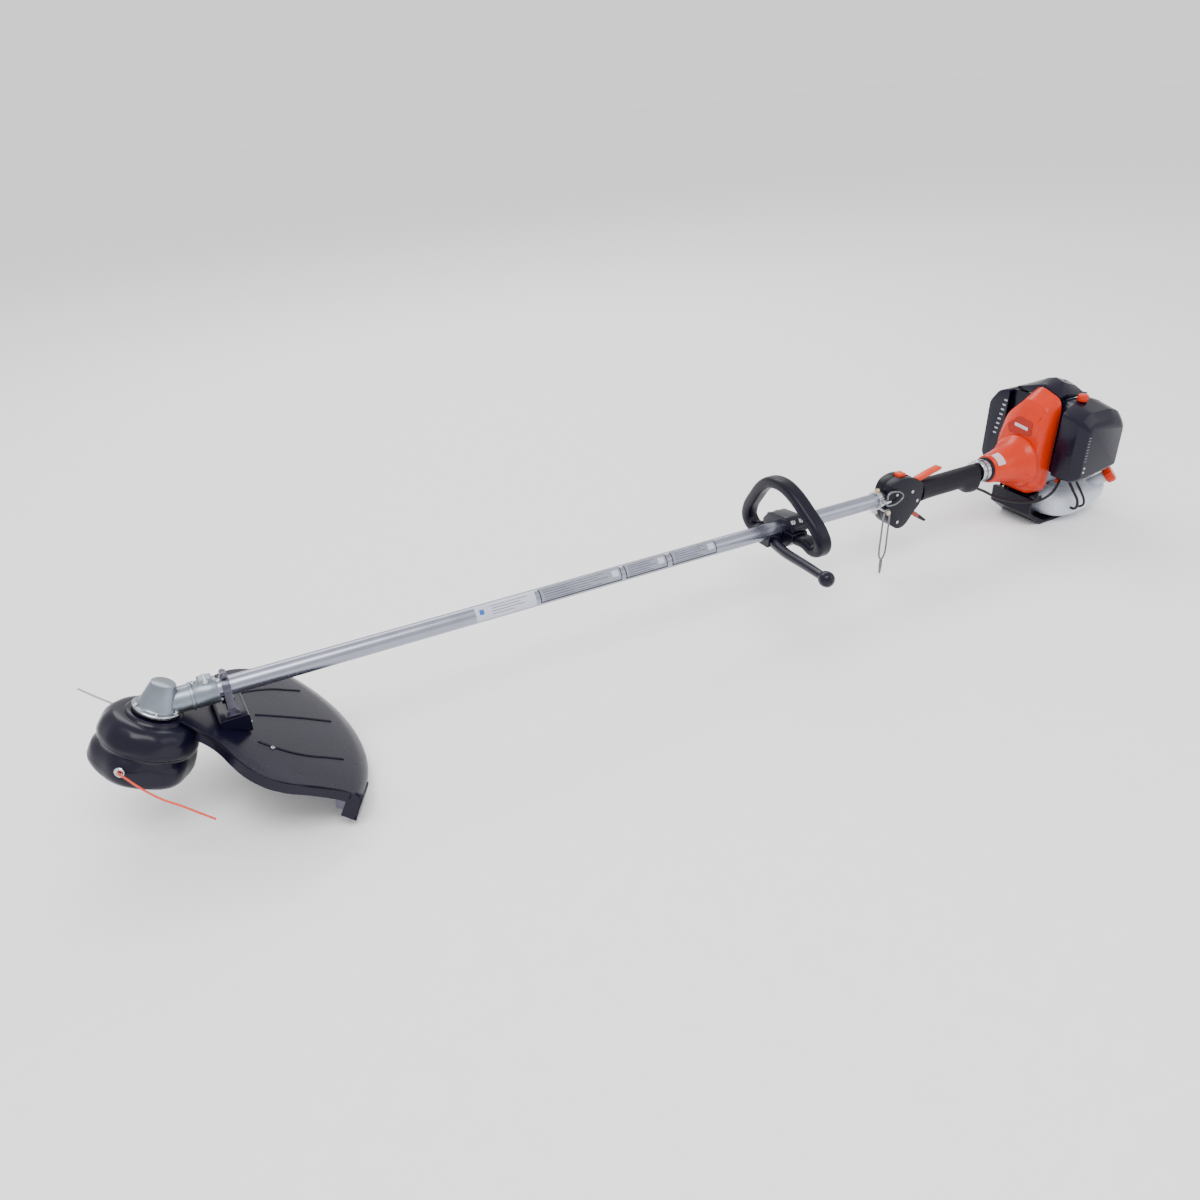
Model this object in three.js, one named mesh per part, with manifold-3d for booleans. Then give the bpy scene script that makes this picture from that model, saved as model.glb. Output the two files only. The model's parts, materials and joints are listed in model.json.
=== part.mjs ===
// Petrol brush cutter with a two-line trimmer head, a loop handle and a shoulder-harness point.
// Millimetres. The machine is drawn along its shaft: X runs from the bevel gears to the engine, and
// Z is up. The whole machine is then tipped so that the shield and the engine stand meet one floor.
import * as THREE from "three";
import { mergeVertices } from "three/addons/utils/BufferGeometryUtils.js";
import Module from "manifold-3d";

const wasm = await Module();
wasm.setup();

// ---------------------------------------------------------------- driving dimensions
const GAP = 0.3; // clearance between pieces that touch
const TUBE_R = 13; // shaft tube, outside
const TUBE_WALL = 1.5;
const TUBE_START = 44;
const TUBE_END = 1452;
const DRIVE_R = 4; // steel shaft inside the tube
const DRIVE_END = 1520;
const BUSH_PLACES = [450, 1080];
const BUSH_LENGTH = 24;

const HEAD_LEAN = THREE.MathUtils.degToRad(26.1); // head axis from the vertical
const FLOOR_TILT = THREE.MathUtils.degToRad(1.61); // shaft's fall towards the engine
const GEAR_HEIGHT = 170.7; // gear centre above the floor
const FOOT_X = 1640; // middle of the stand's foot

const PINION_TEETH = 15;
const GEAR_TEETH = 21;
const PINION_CONE = THREE.MathUtils.degToRad(26.0);
const GEAR_CONE = THREE.MathUtils.degToRad(37.9);
const SPINDLE_R = 5;

const HEAD_R = 61; // trimmer head
const LOBES = 6;
const EYELET_HEIGHT = -65;
const EYELET_ANGLE = THREE.MathUtils.degToRad(-123);
const LINE_R = 1.35;

const SHIELD_R = 280;
const SHIELD_WALL = 3;
const SKIRT_HEIGHT = -50;

const LOOP_X = 990; // loop handle
const LOOP_ROLL = THREE.MathUtils.degToRad(-7.4);
const LOOP_LEAN = THREE.MathUtils.degToRad(-8);
const GRIP_HALF = [13, 9.5]; // half of the loop bar along the shaft and across it

const HOUSING_HALF = 18; // throttle housing, half of its width
const COLLAR_R = 21;
const CASE_FLANGE_R = 50;
const COVER_BACK = 1578;
const STARTER_R = 56;
const COVER_SLOT = [1588, 1645]; // opening under the air-cleaner cover
const INTAKE_HEIGHT = 42;

// ---------------------------------------------------------------- finishes
const FINISHES = {
  orange: [0xd8470f, 0.35, 0],
  black: [0x14131c, 0.5, 0],
  rubber: [0x101014, 0.8, 0],
  steel: [0x9a9da3, 0.35, 1],
  bright: [0xc6c9cf, 0.25, 1],
  alloy: [0xa9adb6, 0.4, 1],
  tube: [0xc9ccd6, 0.3, 1],
  nylon: [0xc8452a, 0.4, 0],
  foam: [0x2a2a30, 0.9, 0],
  tank: [0xd9dde2, 0.35, 0],
};

// ---------------------------------------------------------------- solids
// Welds a geometry's shared vertices, drops flat triangles and turns its faces outwards.
function welded(geometry) {
  const bare = geometry.clone();
  bare.deleteAttribute("normal");
  bare.deleteAttribute("uv");
  const merged = mergeVertices(bare, 1e-4);
  const place = merged.attributes.position;
  const corners = merged.index.array;
  const kept = [];
  let volume = 0;
  const [a, b, c] = [new THREE.Vector3(), new THREE.Vector3(), new THREE.Vector3()];
  for (let i = 0; i < corners.length; i += 3) {
    const [p, q, r] = [corners[i], corners[i + 1], corners[i + 2]];
    if (p === q || q === r || r === p) continue;
    kept.push(p, q, r);
    a.fromBufferAttribute(place, p);
    b.fromBufferAttribute(place, q);
    c.fromBufferAttribute(place, r);
    volume += a.dot(b.cross(c));
  }
  if (volume < 0) kept.reverse();
  merged.setIndex(kept);
  return merged;
}

function toSolid(geometry) {
  const mesh = welded(geometry);
  const vertProperties = new Float32Array(mesh.attributes.position.array);
  const triVerts = new Uint32Array(mesh.index.array);
  return new wasm.Manifold(new wasm.Mesh({ numProp: 3, vertProperties, triVerts }));
}

function toGeometry(solid) {
  const mesh = solid.getMesh();
  const geometry = new THREE.BufferGeometry();
  geometry.setAttribute("position", new THREE.BufferAttribute(new Float32Array(mesh.vertProperties), 3));
  geometry.setIndex(new THREE.BufferAttribute(new Uint32Array(mesh.triVerts), 1));
  return geometry;
}

const join = (first, ...others) =>
  toGeometry(others.reduce((whole, g) => whole.add(toSolid(g)), toSolid(first)));
const cut = (first, ...others) =>
  toGeometry(others.reduce((whole, g) => whole.subtract(toSolid(g)), toSolid(first)));

// A box between two corners, each given as [low, high] along an axis.
function box(x, y, z) {
  const geometry = new THREE.BoxGeometry(x[1] - x[0], y[1] - y[0], z[1] - z[0]);
  return geometry.translate((x[0] + x[1]) / 2, (y[0] + y[1]) / 2, (z[0] + z[1]) / 2);
}

// Moves a geometry drawn along +Z so that it starts at a point and runs along an axis.
function along(geometry, from, axis) {
  const turn = new THREE.Quaternion().setFromUnitVectors(
    new THREE.Vector3(0, 0, 1),
    new THREE.Vector3(...axis).normalize(),
  );
  return geometry.applyQuaternion(turn).translate(...from);
}

// A turned solid: its profile is a list of [radius, distance along the axis].
function turned(profile, from = [0, 0, 0], axis = [0, 0, 1], sides = 24) {
  const points = profile.map(([r, z]) => new THREE.Vector2(r, z));
  return along(new THREE.LatheGeometry(points, sides).rotateX(Math.PI / 2), from, axis);
}

// A round bar, or a cone, between two points.
function rod(radius, from, to, sides = 20, endRadius = radius) {
  const [start, end] = [new THREE.Vector3(...from), new THREE.Vector3(...to)];
  const axis = end.clone().sub(start);
  const profile = [[0, 0], [radius, 0], [endRadius, axis.length()], [0, axis.length()]];
  return turned(profile, from, axis.toArray(), sides);
}

// A sleeve about the shaft's axis, from one X to another.
function sleeve(inner, outer, start, end, sides = 28) {
  const profile = [[inner, start], [outer, start], [outer, end], [inner, end], [inner, start]];
  return turned(profile, [0, 0, 0], [1, 0, 0], sides);
}

// A flat outline pushed along one axis: [y, z] along X, [x, z] along Y or [x, y] along Z.
function prism(outline, axis, start, end) {
  const shape = new THREE.Shape(outline.map(([u, v]) => new THREE.Vector2(u, v)));
  const geometry = new THREE.ExtrudeGeometry(shape, { depth: end - start, bevelEnabled: false });
  geometry.translate(0, 0, start);
  const [X, Y, Z] = [new THREE.Vector3(1, 0, 0), new THREE.Vector3(0, 1, 0), new THREE.Vector3(0, 0, 1)];
  const bases = { x: [Y, Z, X], y: [X, Z, Y], z: [X, Y, Z] };
  return geometry.applyMatrix4(new THREE.Matrix4().makeBasis(...bases[axis]));
}

// Rounds an outline's corners with short arcs.
function rounded(outline, radius, steps = 3) {
  const points = outline.map(([u, v]) => new THREE.Vector2(u, v));
  const smooth = [];
  points.forEach((corner, i) => {
    const before = points[(i + points.length - 1) % points.length];
    const after = points[(i + 1) % points.length];
    const reach = Math.min(radius, before.distanceTo(corner) / 2.2, after.distanceTo(corner) / 2.2);
    const start = corner.clone().add(before.clone().sub(corner).setLength(reach));
    const end = corner.clone().add(after.clone().sub(corner).setLength(reach));
    const arc = new THREE.QuadraticBezierCurve(start, corner, end);
    arc.getPoints(steps).forEach((p) => smooth.push([p.x, p.y]));
  });
  return smooth;
}

// A solid through a list of closed sections that have the same number of points.
function loft(sections) {
  const count = sections[0].length;
  const places = sections.flat();
  const corners = [];
  for (let s = 0; s + 1 < sections.length; s += 1) {
    for (let i = 0; i < count; i += 1) {
      const next = (i + 1) % count;
      const [p, q] = [s * count + i, s * count + next];
      corners.push(p, q, q + count, p, q + count, p + count);
    }
  }
  [0, sections.length - 1].forEach((s) => {
    const middle = sections[s].reduce((sum, p) => sum.map((v, k) => v + p[k] / count), [0, 0, 0]);
    places.push(middle);
    for (let i = 0; i < count; i += 1) {
      const [p, q] = [s * count + i, s * count + ((i + 1) % count)];
      if (s === 0) corners.push(q, p, places.length - 1);
      else corners.push(p, q, places.length - 1);
    }
  });
  const geometry = new THREE.BufferGeometry();
  geometry.setAttribute("position", new THREE.Float32BufferAttribute(places.flat(), 3));
  geometry.setIndex(corners);
  return geometry;
}

// A round bar bent along a smooth curve through the points.
function wire(points, radius, steps, sides = 8) {
  const section = new THREE.Shape();
  for (let i = 0; i < sides; i += 1) {
    const turn = (2 * Math.PI * i) / sides;
    const [u, v] = [radius * Math.cos(turn), radius * Math.sin(turn)];
    if (i === 0) section.moveTo(u, v);
    else section.lineTo(u, v);
  }
  const extrudePath = new THREE.CatmullRomCurve3(points.map((p) => new THREE.Vector3(...p)));
  return new THREE.ExtrudeGeometry(section, { steps, extrudePath, bevelEnabled: false });
}

// An oval with squared shoulders: centre, half sizes and how square it is.
function squircle(centre, half, count, power) {
  return Array.from({ length: count }, (_, i) => {
    const turn = (2 * Math.PI * i) / count;
    const [c, s] = [Math.cos(turn), Math.sin(turn)];
    return [
      centre[0] + half[0] * Math.sign(c) * Math.abs(c) ** (2 / power),
      centre[1] + half[1] * Math.sign(s) * Math.abs(s) ** (2 / power),
    ];
  });
}

// A value read off a short list of [place, value] pairs, straight between them.
function between(list, place) {
  const last = list.length - 1;
  if (place <= list[0][0]) return list[0][1];
  if (place >= list[last][0]) return list[last][1];
  const i = list.findIndex(([p]) => p > place);
  const [[p0, v0], [p1, v1]] = [list[i - 1], list[i]];
  return v0 + ((v1 - v0) * (place - p0)) / (p1 - p0);
}

// The clearance hole for the shaft tube, from one X to another.
const tubeBore = (start, end) => rod(TUBE_R + GAP, [start, 0, 0], [end, 0, 0], 28);

// ---------------------------------------------------------------- frames
const machine = new THREE.Group();
machine.rotation.y = FLOOR_TILT;
const footDrop = GEAR_HEIGHT / Math.cos(FLOOR_TILT) - FOOT_X * Math.tan(FLOOR_TILT);
machine.position.set(
  -(FOOT_X * Math.cos(FLOOR_TILT) - footDrop * Math.sin(FLOOR_TILT)),
  0,
  GEAR_HEIGHT,
);
machine.updateMatrixWorld();

const head = new THREE.Group(); // Z along the head's axis, X in the head's plane
head.rotation.y = HEAD_LEAN;
machine.add(head);
head.updateMatrixWorld();

function part(name, finish, geometry, frame = machine) {
  const [color, roughness, metalness] = FINISHES[finish];
  const shape = welded(geometry);
  shape.computeVertexNormals();
  const mesh = new THREE.Mesh(shape, new THREE.MeshStandardMaterial({ color, roughness, metalness }));
  mesh.name = name;
  frame.add(mesh);
}

const inHeadFrame = (geometry) => geometry.applyMatrix4(head.matrix);

// Everything under the floor, in the machine's frame.
function underFloor() {
  const slab = box([-2200, 400], [-500, 500], [-120, 0]);
  return slab.applyMatrix4(machine.matrixWorld.clone().invert());
}

// ---------------------------------------------------------------- gear case
function gearCase() {
  const cone = [[0, -4], [29, -4], [29, 1], [24, 1.5], [23, 4], [15.5, 32.5], [13.5, 34], [0, 34]];
  const cavity = [[0, -5], [12.7, -5], [12.7, 1], [19, 1], [19, 6], [17, 22], [5.6, 22], [5.6, 29], [0, 29]];
  const outside = join(
    inHeadFrame(turned(cone)),
    rod(16.5, [4, 0, 0], [46, 0, 0], 24, 17.5),
    rod(18, [46, 0, 0], [74, 0, 0], 24),
    box([52, 70], [-7, 7], [10, 22.5]),
    rod(3.4, [61, -9, 19.5], [61, 9, 19.5], 12),
    rod(3.4, [46, 0, 15], [46, 0, 22], 12),
  );
  return cut(
    outside,
    inHeadFrame(turned(cavity, [0, 0, 0], [0, 0, 1], 18)),
    inHeadFrame(rod(40, [0, 0, -40], [0, 0, -4], 20)),
    rod(7.4, [12.5, 0, 0], [22.5, 0, 0], 16, 11.8),
    rod(11.8, [22, 0, 0], [43, 0, 0], 16),
    tubeBore(42, 90),
    box([50, 80], [-1, 1], [8, 30]),
  );
}

// A bevel gear about Z whose pitch cone has its point at the origin.
function bevelGear(teeth, cone, near, far, bore) {
  const ring = (distance) =>
    Array.from({ length: teeth * 4 }, (_, i) => {
      const turn = (2 * Math.PI * (i + 0.5)) / (teeth * 4);
      const tip = distance * Math.sin(cone) - 0.25;
      const radius = i % 4 < 2 ? tip : tip - 1.7;
      return [radius * Math.cos(turn), radius * Math.sin(turn), distance * Math.cos(cone)];
    });
  const blank = loft([ring(near), ring(far)]);
  const height = far * Math.cos(cone);
  return cut(blank, rod(bore, [0, 0, 0], [0, 0, height + 5], 24));
}

function outputSpindle() {
  const profile = [[0, -42], [SPINDLE_R, -42], [SPINDLE_R, -10], [20, -10], [20, -7], [8, -6.5], [8, -4.5]];
  return turned([...profile, [SPINDLE_R, -4.5], [SPINDLE_R, 27], [0, 27]]);
}

function spindleBearing() {
  const bore = SPINDLE_R + GAP;
  return turned([[bore, -3.6], [12.3, -3.6], [12.3, 3.2], [10.5, 3.2], [10.5, 2.2], [7.5, 2.2], [7.5, 3.2],
    [bore, 3.2], [bore, -3.6]]);
}

// ---------------------------------------------------------------- trimmer head
function headHousing() {
  const outer = [[21, -11], [44, -11.5], [50, -14], [57, -22], [HEAD_R, -34], [HEAD_R + 0.5, -42], [60, -44.5]];
  const inner = [[57.5, -44.5], [57.5, -36], [54, -24], [46, -16.5], [12, -15.5], [12, -45]];
  const bore = [[SPINDLE_R + GAP, -45], [SPINDLE_R + GAP, -11], [21, -11]];
  return turned([...outer, ...inner, ...bore], [0, 0, 0], [0, 0, 1], 32);
}

const eyeletPoint = (angle, radius, height = EYELET_HEIGHT) =>
  [radius * Math.cos(angle), radius * Math.sin(angle), height];

function headCover() {
  const widths = [[-45, 60, 0], [-50, 58.6, 0.2], [-57, 61.5, 1.6], [-76, 62.5, 2], [-84, 60, 1.5], [-89, 53, 0.5]];
  const ring = ([height, radius, lobe]) =>
    Array.from({ length: 42 }, (_, i) => {
      const turn = (2 * Math.PI * i) / 42;
      const reach = radius + lobe * Math.cos(LOBES * (turn - EYELET_ANGLE));
      return [reach * Math.cos(turn), reach * Math.sin(turn), height];
    });
  const hole = (angle) => rod(5.3, eyeletPoint(angle, 50), eyeletPoint(angle, 70), 16);
  return cut(
    loft(widths.map(ring)),
    rod(56, [0, 0, -44], [0, 0, -83], 32),
    rod(26, [0, 0, -80], [0, 0, -92], 24),
    hole(EYELET_ANGLE),
    hole(EYELET_ANGLE + Math.PI),
  );
}

function lineSpool() {
  const bore = 12.6;
  return turned([[bore, -52], [50, -52], [50, -54.5], [40, -54.5], [40, -74.5], [50, -74.5], [50, -77],
    [bore, -77], [bore, -52]]);
}

const bumpKnob = () =>
  turned([[0, -77.5], [22, -77.5], [24.5, -84], [24.5, -94], [20, -99], [10, -101], [0, -101]]);

function eyelet(angle) {
  const profile = [[2, 0], [4.6, 0], [4.6, 7.4], [6.5, 7.4], [6.5, 9.4], [2, 9.4], [2, 0]];
  const axis = [Math.cos(angle), Math.sin(angle), 0];
  return turned(profile, eyeletPoint(angle, 57.5), axis, 16);
}

// Both lines leave their eyelets straight out and bend back against the turning direction.
function cuttingLine(half) {
  const side = half === 1 ? 1 : -1;
  const ends = half === 1 ? [-68, -71, -74, -77, -80] : [-66, -64, -61, -58, -54];
  const route = [
    eyeletPoint(EYELET_ANGLE, 54),
    eyeletPoint(EYELET_ANGLE, 60),
    eyeletPoint(EYELET_ANGLE, 68),
    [-29, -67, -66],
    [-12, -86, ends[0]],
    [9, -101, ends[1]],
    [31, -109, ends[2]],
    [51, -118, ends[3]],
    [70, -126, ends[4]],
  ];
  return wire(route.map(([x, y, z]) => [side * x, side * y, z]), LINE_R, 26);
}

// ---------------------------------------------------------------- shield
const NEAR_EDGE = [[33, 42], [80, 42], [100, 45], [120, 49], [145, 51.5], [175, 50.5], [200, 46.5], [220, 41.5],
  [240, 38], [255, 36], [SHIELD_R, 34]];
const FAR_EDGE = [[33, 42], [80, 42], [100, 45], [120, 49], [145, 51.5], [175, 51], [200, 49], [220, 46], [240, 43.5],
  [255, 42], [SHIELD_R, 38]];
const SHIELD_TOP = [[33, -6], [60, -6.6], [85, -7.5], [120, -8.8], [145, -9.8], [175, -11], [200, -12], [220, -13],
  [245, -14.6], [265, -17], [276, -21]];

const shieldAngle = (share, radius) =>
  THREE.MathUtils.degToRad(share < 0 ? share * between(NEAR_EDGE, radius) : share * between(FAR_EDGE, radius));

const polar = (angle, radius, height) => [radius * Math.cos(angle), radius * Math.sin(angle), height];

function shieldSkin() {
  const rim = SHIELD_R;
  const outside = [...SHIELD_TOP, [rim, -28], [rim + 1, SKIRT_HEIGHT]];
  const inside = [[rim + 1 - SHIELD_WALL, SKIRT_HEIGHT], [rim - SHIELD_WALL, -29]];
  const under = SHIELD_TOP.slice(0, 10).reverse().map(([r, z]) => [r, z - SHIELD_WALL]);
  const section = [...outside, ...inside, ...under];
  const steps = 17;
  return loft(Array.from({ length: steps + 1 }, (_, i) => {
    const share = -1 + (2 * i) / steps;
    return section.map(([radius, height]) => polar(shieldAngle(share, radius), radius, height));
  }));
}

// A turned-down lip along one radial edge of the shield.
function shieldLip(share) {
  const places = SHIELD_TOP.slice(1, 10).map(([radius]) => radius);
  return loft(places.map((radius) => {
    const edge = shieldAngle(share, radius);
    const top = between(SHIELD_TOP, radius) - 1;
    const angle = edge + (Math.sign(share) * 0.6) / radius;
    const inset = (-Math.sign(share) * SHIELD_WALL) / radius;
    return [
      polar(angle, radius, top),
      polar(angle, radius, top - 14),
      polar(angle + inset, radius, top - 14),
      polar(angle + inset, radius, top),
    ];
  }));
}

// The deep end of the skirt that carries the line cutter.
function skirtEnd() {
  const start = THREE.MathUtils.degToRad(-34);
  const wall = (angle, depth) => [
    polar(angle, SHIELD_R - 4, -24),
    polar(angle, SHIELD_R + 1, -24),
    polar(angle, SHIELD_R + 3, depth),
    polar(angle, SHIELD_R - 1, depth),
  ];
  const turns = [0, 2, 4, 6, 8, 10].map((degrees) => start + THREE.MathUtils.degToRad(degrees));
  const blade = box([262, SHIELD_R + 2], [0, 4], [-56, -16]).rotateZ(start);
  return join(loft(turns.map((angle) => wall(angle, -56))), blade);
}

function shield() {
  const saddle = [[64, -40], [102, -58], [102, -31], [64, -31]];
  const plate = inHeadFrame(join(shieldSkin(), shieldLip(-1), shieldLip(1), skirtEnd()));
  const body = join(plate, prism(saddle, "y", -32, 32));
  return cut(body, underFloor());
}

function shieldBracket() {
  const strap = join(
    rod(TUBE_R + 3, [79, 0, 0], [89, 0, 0], 28),
    box([79, 89], [-16, -13.6], [-28, 0]),
    box([79, 89], [13.6, 16], [-28, 0]),
    box([76, 92], [-28, -13.6], [-30.6, -28]),
    box([76, 92], [13.6, 28], [-30.6, -28]),
    box([80, 88], [-5, 5], [14, 23]),
    rod(3.2, [84, -9, 19], [84, 9, 19], 12),
  );
  return cut(strap, tubeBore(70, 100));
}

// A steel blade on the skirt's end that trims the lines to length.
function lineCutter() {
  const outline = [[246, -34], [274, -34], [274, -50], [252, -50]];
  return prism(outline, "y", 4.5, 6).rotateZ(THREE.MathUtils.degToRad(-34));
}

// ---------------------------------------------------------------- loop handle
// Loop coordinates are [across, up]; the loop leans and is rolled a little about the tube.
function loopPoint([across, up]) {
  const y = across * Math.cos(LOOP_ROLL) - up * Math.sin(LOOP_ROLL);
  const z = across * Math.sin(LOOP_ROLL) + up * Math.cos(LOOP_ROLL);
  return [LOOP_X + up * Math.sin(LOOP_LEAN), y, z];
}

function loopHandle() {
  const half = [[20, -8], [38, -5], [56, -13], [74, -21], [89, -18], [97, -4], [89, 17], [66, 42], [42, 64],
    [20, 76]];
  const route = [...half, [0, 79], ...half.map(([a, u]) => [-a, u]).reverse()];
  const extrudePath = new THREE.CatmullRomCurve3(route.map((p) => new THREE.Vector3(...loopPoint(p))));
  const [u, v] = GRIP_HALF;
  const corners = rounded([[-u, -v], [u, -v], [u, v], [-u, v]], 7, 1);
  const section = new THREE.Shape(corners.map((p) => new THREE.Vector2(...p)));
  const bar = new THREE.ExtrudeGeometry(section, { steps: 36, extrudePath, bevelEnabled: false });
  const outline = [[-40, -0.4], [40, -0.4], [38, -14], [20, -28], [-20, -28], [-38, -14]];
  const base = prism(rounded(outline, 6, 2), "x", 975, 1007).rotateX(LOOP_ROLL);
  const seat = box([965, 1015], [-41, 41], [-0.4, 14]).rotateX(LOOP_ROLL);
  return cut(join(bar, base), tubeBore(960, 1010), seat);
}

function handleClamp() {
  const outline = rounded([[-40, 0.4], [40, 0.4], [40, 9], [22, 24], [-22, 24], [-40, 9]], 5);
  const screws = [983, 999].flatMap((x) => [-31, 31].map((y) => rod(3.6, [x, y, 5], [x, y, 19], 12)));
  const block = join(prism(outline, "x", 976, 1006), ...screws).rotateX(LOOP_ROLL);
  return cut(block, tubeBore(960, 1010), box([970, 1010], [-70, 70], [-20, 0]).rotateX(LOOP_ROLL));
}

function barrierBar() {
  const saddle = prism(rounded([[-17, -0.4], [17, -0.4], [15, -23], [-15, -23]], 5), "x", 946, 973);
  const arm = wire([[960, -6, -14], [954, -28, -14], [947, -60, -12], [939, -120, -6], [931, -176, -1]], 7.5, 12, 12);
  const knob = turned([[0, 0], [8, 0.5], [11.5, 5], [12.5, 11], [11.5, 17], [7, 22], [0, 23]],
    [932, -166, -2], [-7, -55, 5], 16);
  return cut(join(saddle, arm, knob), tubeBore(930, 980));
}

// ---------------------------------------------------------------- harness point
const RING_POST = [1195, -23.5];
const CLIP_PIN = [1192, -12];

function hangerClamp() {
  const [x, z] = CLIP_PIN;
  const band = join(
    rod(TUBE_R + 3.4, [1186, 0, 0], [1199, 0, 0], 28),
    box([1189, 1199.5], [-28, -12], [4.5, 8]),
    rod(2, [x, -10, z], [x, -31, z], 12),
    rod(3.6, [x, -31, z], [x, -33, z], 12),
    box([1187, 1198], [-5, 5], [-24, -14]),
  );
  return cut(band, tubeBore(1180, 1205),
    rod(2.7, [RING_POST[0], RING_POST[1], 0], [RING_POST[0], RING_POST[1], 12], 16));
}

// A closed wire, made of two halves that share their ends.
function closedWire(first, second, radius, steps) {
  return join(wire(first, radius, steps), wire(second, radius, steps));
}

function hangerRing() {
  const [x, y] = RING_POST;
  const straight = [[x, y, -1.5], [x, y, 2], [x, y, 10], [x, y, 17]];
  const lower = [[1228, y, 3], [1216, y, -3], [1202, y, -3.5], ...straight];
  const upper = [...straight.slice(2), [1202, y, 21], [1218, y, 19], [1229, y, 12], [1230.5, y, 6], [1228, y, 3],
    [1224, y, 0.5]];
  return closedWire(lower, upper, 1.5, 13);
}

function harnessClip() {
  const [x, z] = CLIP_PIN;
  const y = -28.4;
  const leg = (side) => [
    [x - side * 2.5, y, z + 4],
    [x + side * 1.5, y, z + 4.2],
    [x + side * 4.6, y, z + 1.5],
    [x + side * 6.6, y, z - 8],
    [x + side * 7.2, y, z - 43],
    [x + side * 6.6, y, z - 81],
    [x + side * 3, y, z - 89],
    [x, y, z - 93],
  ];
  const tip = turned([[0, 0], [1.6, 0], [2.8, 3], [2.8, 16], [1.6, 28], [0, 28]], [x, y, z - 91], [0, 0, -1], 12);
  return join(wire(leg(1), 1.3, 17, 6), wire(leg(-1), 1.3, 17, 6), tip);
}

// ---------------------------------------------------------------- throttle unit
const CABLE_ROUTE = [
  [1274, 0, -17.6], [1300, 0, -17.6], [1345, 0, -17.6], [1388, 0, -17.8], [1411, 0, -24], [1432, 0, -30],
  [1460, -3, -43], [1490, -12, -60], [1520, -34, -68], [1550, -56, -65], [1574, -65, -51], [1590, -64, -32],
  [1596, -62, -14], [1598, -61, -0.7],
];
const CABLE_R = 2.5;

function throttleHousing(start, end) {
  const outline = rounded([[1203, 18], [1210, 31], [1230, 38], [1256, 35], [1284, 19], [1282, -20], [1268, -32],
    [1257, -48], [1246, -58], [1230, -58], [1212, -44], [1203, -26]], 9);
  return cut(
    prism(outline, "y", start, end),
    tubeBore(1190, 1300),
    box([1246, 1296], [-7, 7], [-52, -21]),
    box([1268, 1296], [-4, 4], [-24, -10]),
    box([1230, 1259], [-7.4, 7.4], [30, 50]),
    box([1277, 1296], [-6.5, 6.5], [14, 50]),
  );
}

function throttleTrigger() {
  const blade = [[1253, -27], [1262, -28], [1284, -41], [1299, -52], [1314, -64], [1311, -67], [1294, -57],
    [1278, -47], [1258, -36]];
  const hub = rod(5, [1256, -6.4, -31], [1256, 6.4, -31], 16);
  return join(prism(blade, "y", -6, 6), hub);
}

function lockoutLever() {
  const outline = [[1280, 15], [1280, 23], [1300, 28.5], [1330, 35], [1337, 33], [1335, 28.5], [1300, 20.5],
    [1289, 17.6]];
  return prism(outline, "y", -6, 6);
}

const stopSwitch = () =>
  prism(rounded([[1233, 30.4], [1233, 42], [1248, 42], [1248, 30.4]], 3), "y", -7, 7);

function rearGrip() {
  const stations = [[1289, 18, 16.5, -24], [1308, 16.6, 15.6, -22.5], [1360, 16.6, 15.2, -22], [1394, 17, 15.4, -23.5],
    [1408, 17.6, 15.6, -34], [1424, 17.6, 15.8, -36], [1432.5, 16.8, 15.4, -34]];
  const sections = stations.map(([x, half, top, bottom]) => {
    const oval = squircle([0, (top + bottom) / 2], [half, (top - bottom) / 2], 24, 2.4);
    return oval.map(([y, z]) => [x, y, z]);
  });
  return cut(loft(sections), tubeBore(1280, 1440),
    wire(CABLE_ROUTE.slice(0, 7), CABLE_R + 0.6, 16));
}

// ---------------------------------------------------------------- clutch
function clutchCollar() {
  const band = join(
    rod(COLLAR_R, [1434, 0, 0], [1457, 0, 0], 28),
    box([1438, 1453], [12, 27], [-7, 7]),
    rod(3.2, [1445, 22, -10], [1445, 22, 10], 12),
  );
  return cut(band, tubeBore(1430, 1460), box([1430, 1460], [10, 30], [-1, 1]));
}

function clutchCase() {
  const outer = [[10, 1458], [23, 1458], [26, 1461], [29.5, 1484], [41, 1522], [CASE_FLANGE_R, 1533]];
  const inner = [[CASE_FLANGE_R, 1538], [41, 1538], [36.8, 1518], [25, 1499], [19, 1488], [19, 1463], [10, 1463]];
  return turned([...outer, ...inner, [10, 1458]], [0, 0, 0], [1, 0, 0], 28);
}

function clutchDrum() {
  const profile = [[DRIVE_R + GAP, 1500], [8, 1500], [8, 1519], [33.5, 1519], [33.5, 1545], [31, 1545], [31, 1522],
    [DRIVE_R + GAP, 1522], [DRIVE_R + GAP, 1500]];
  return turned(profile, [0, 0, 0], [1, 0, 0], 30);
}

function clutchRotor() {
  const disc = sleeve(6.3, 28.5, 1526, 1544, 30);
  const slot = (y) => box([1525, 1545], [y, y + 4], [-20, 40]);
  const groove = (y) => box([1525, 1545], [y, y + 4], [-40, 20]);
  return cut(disc, slot(11), groove(-15));
}

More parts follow.
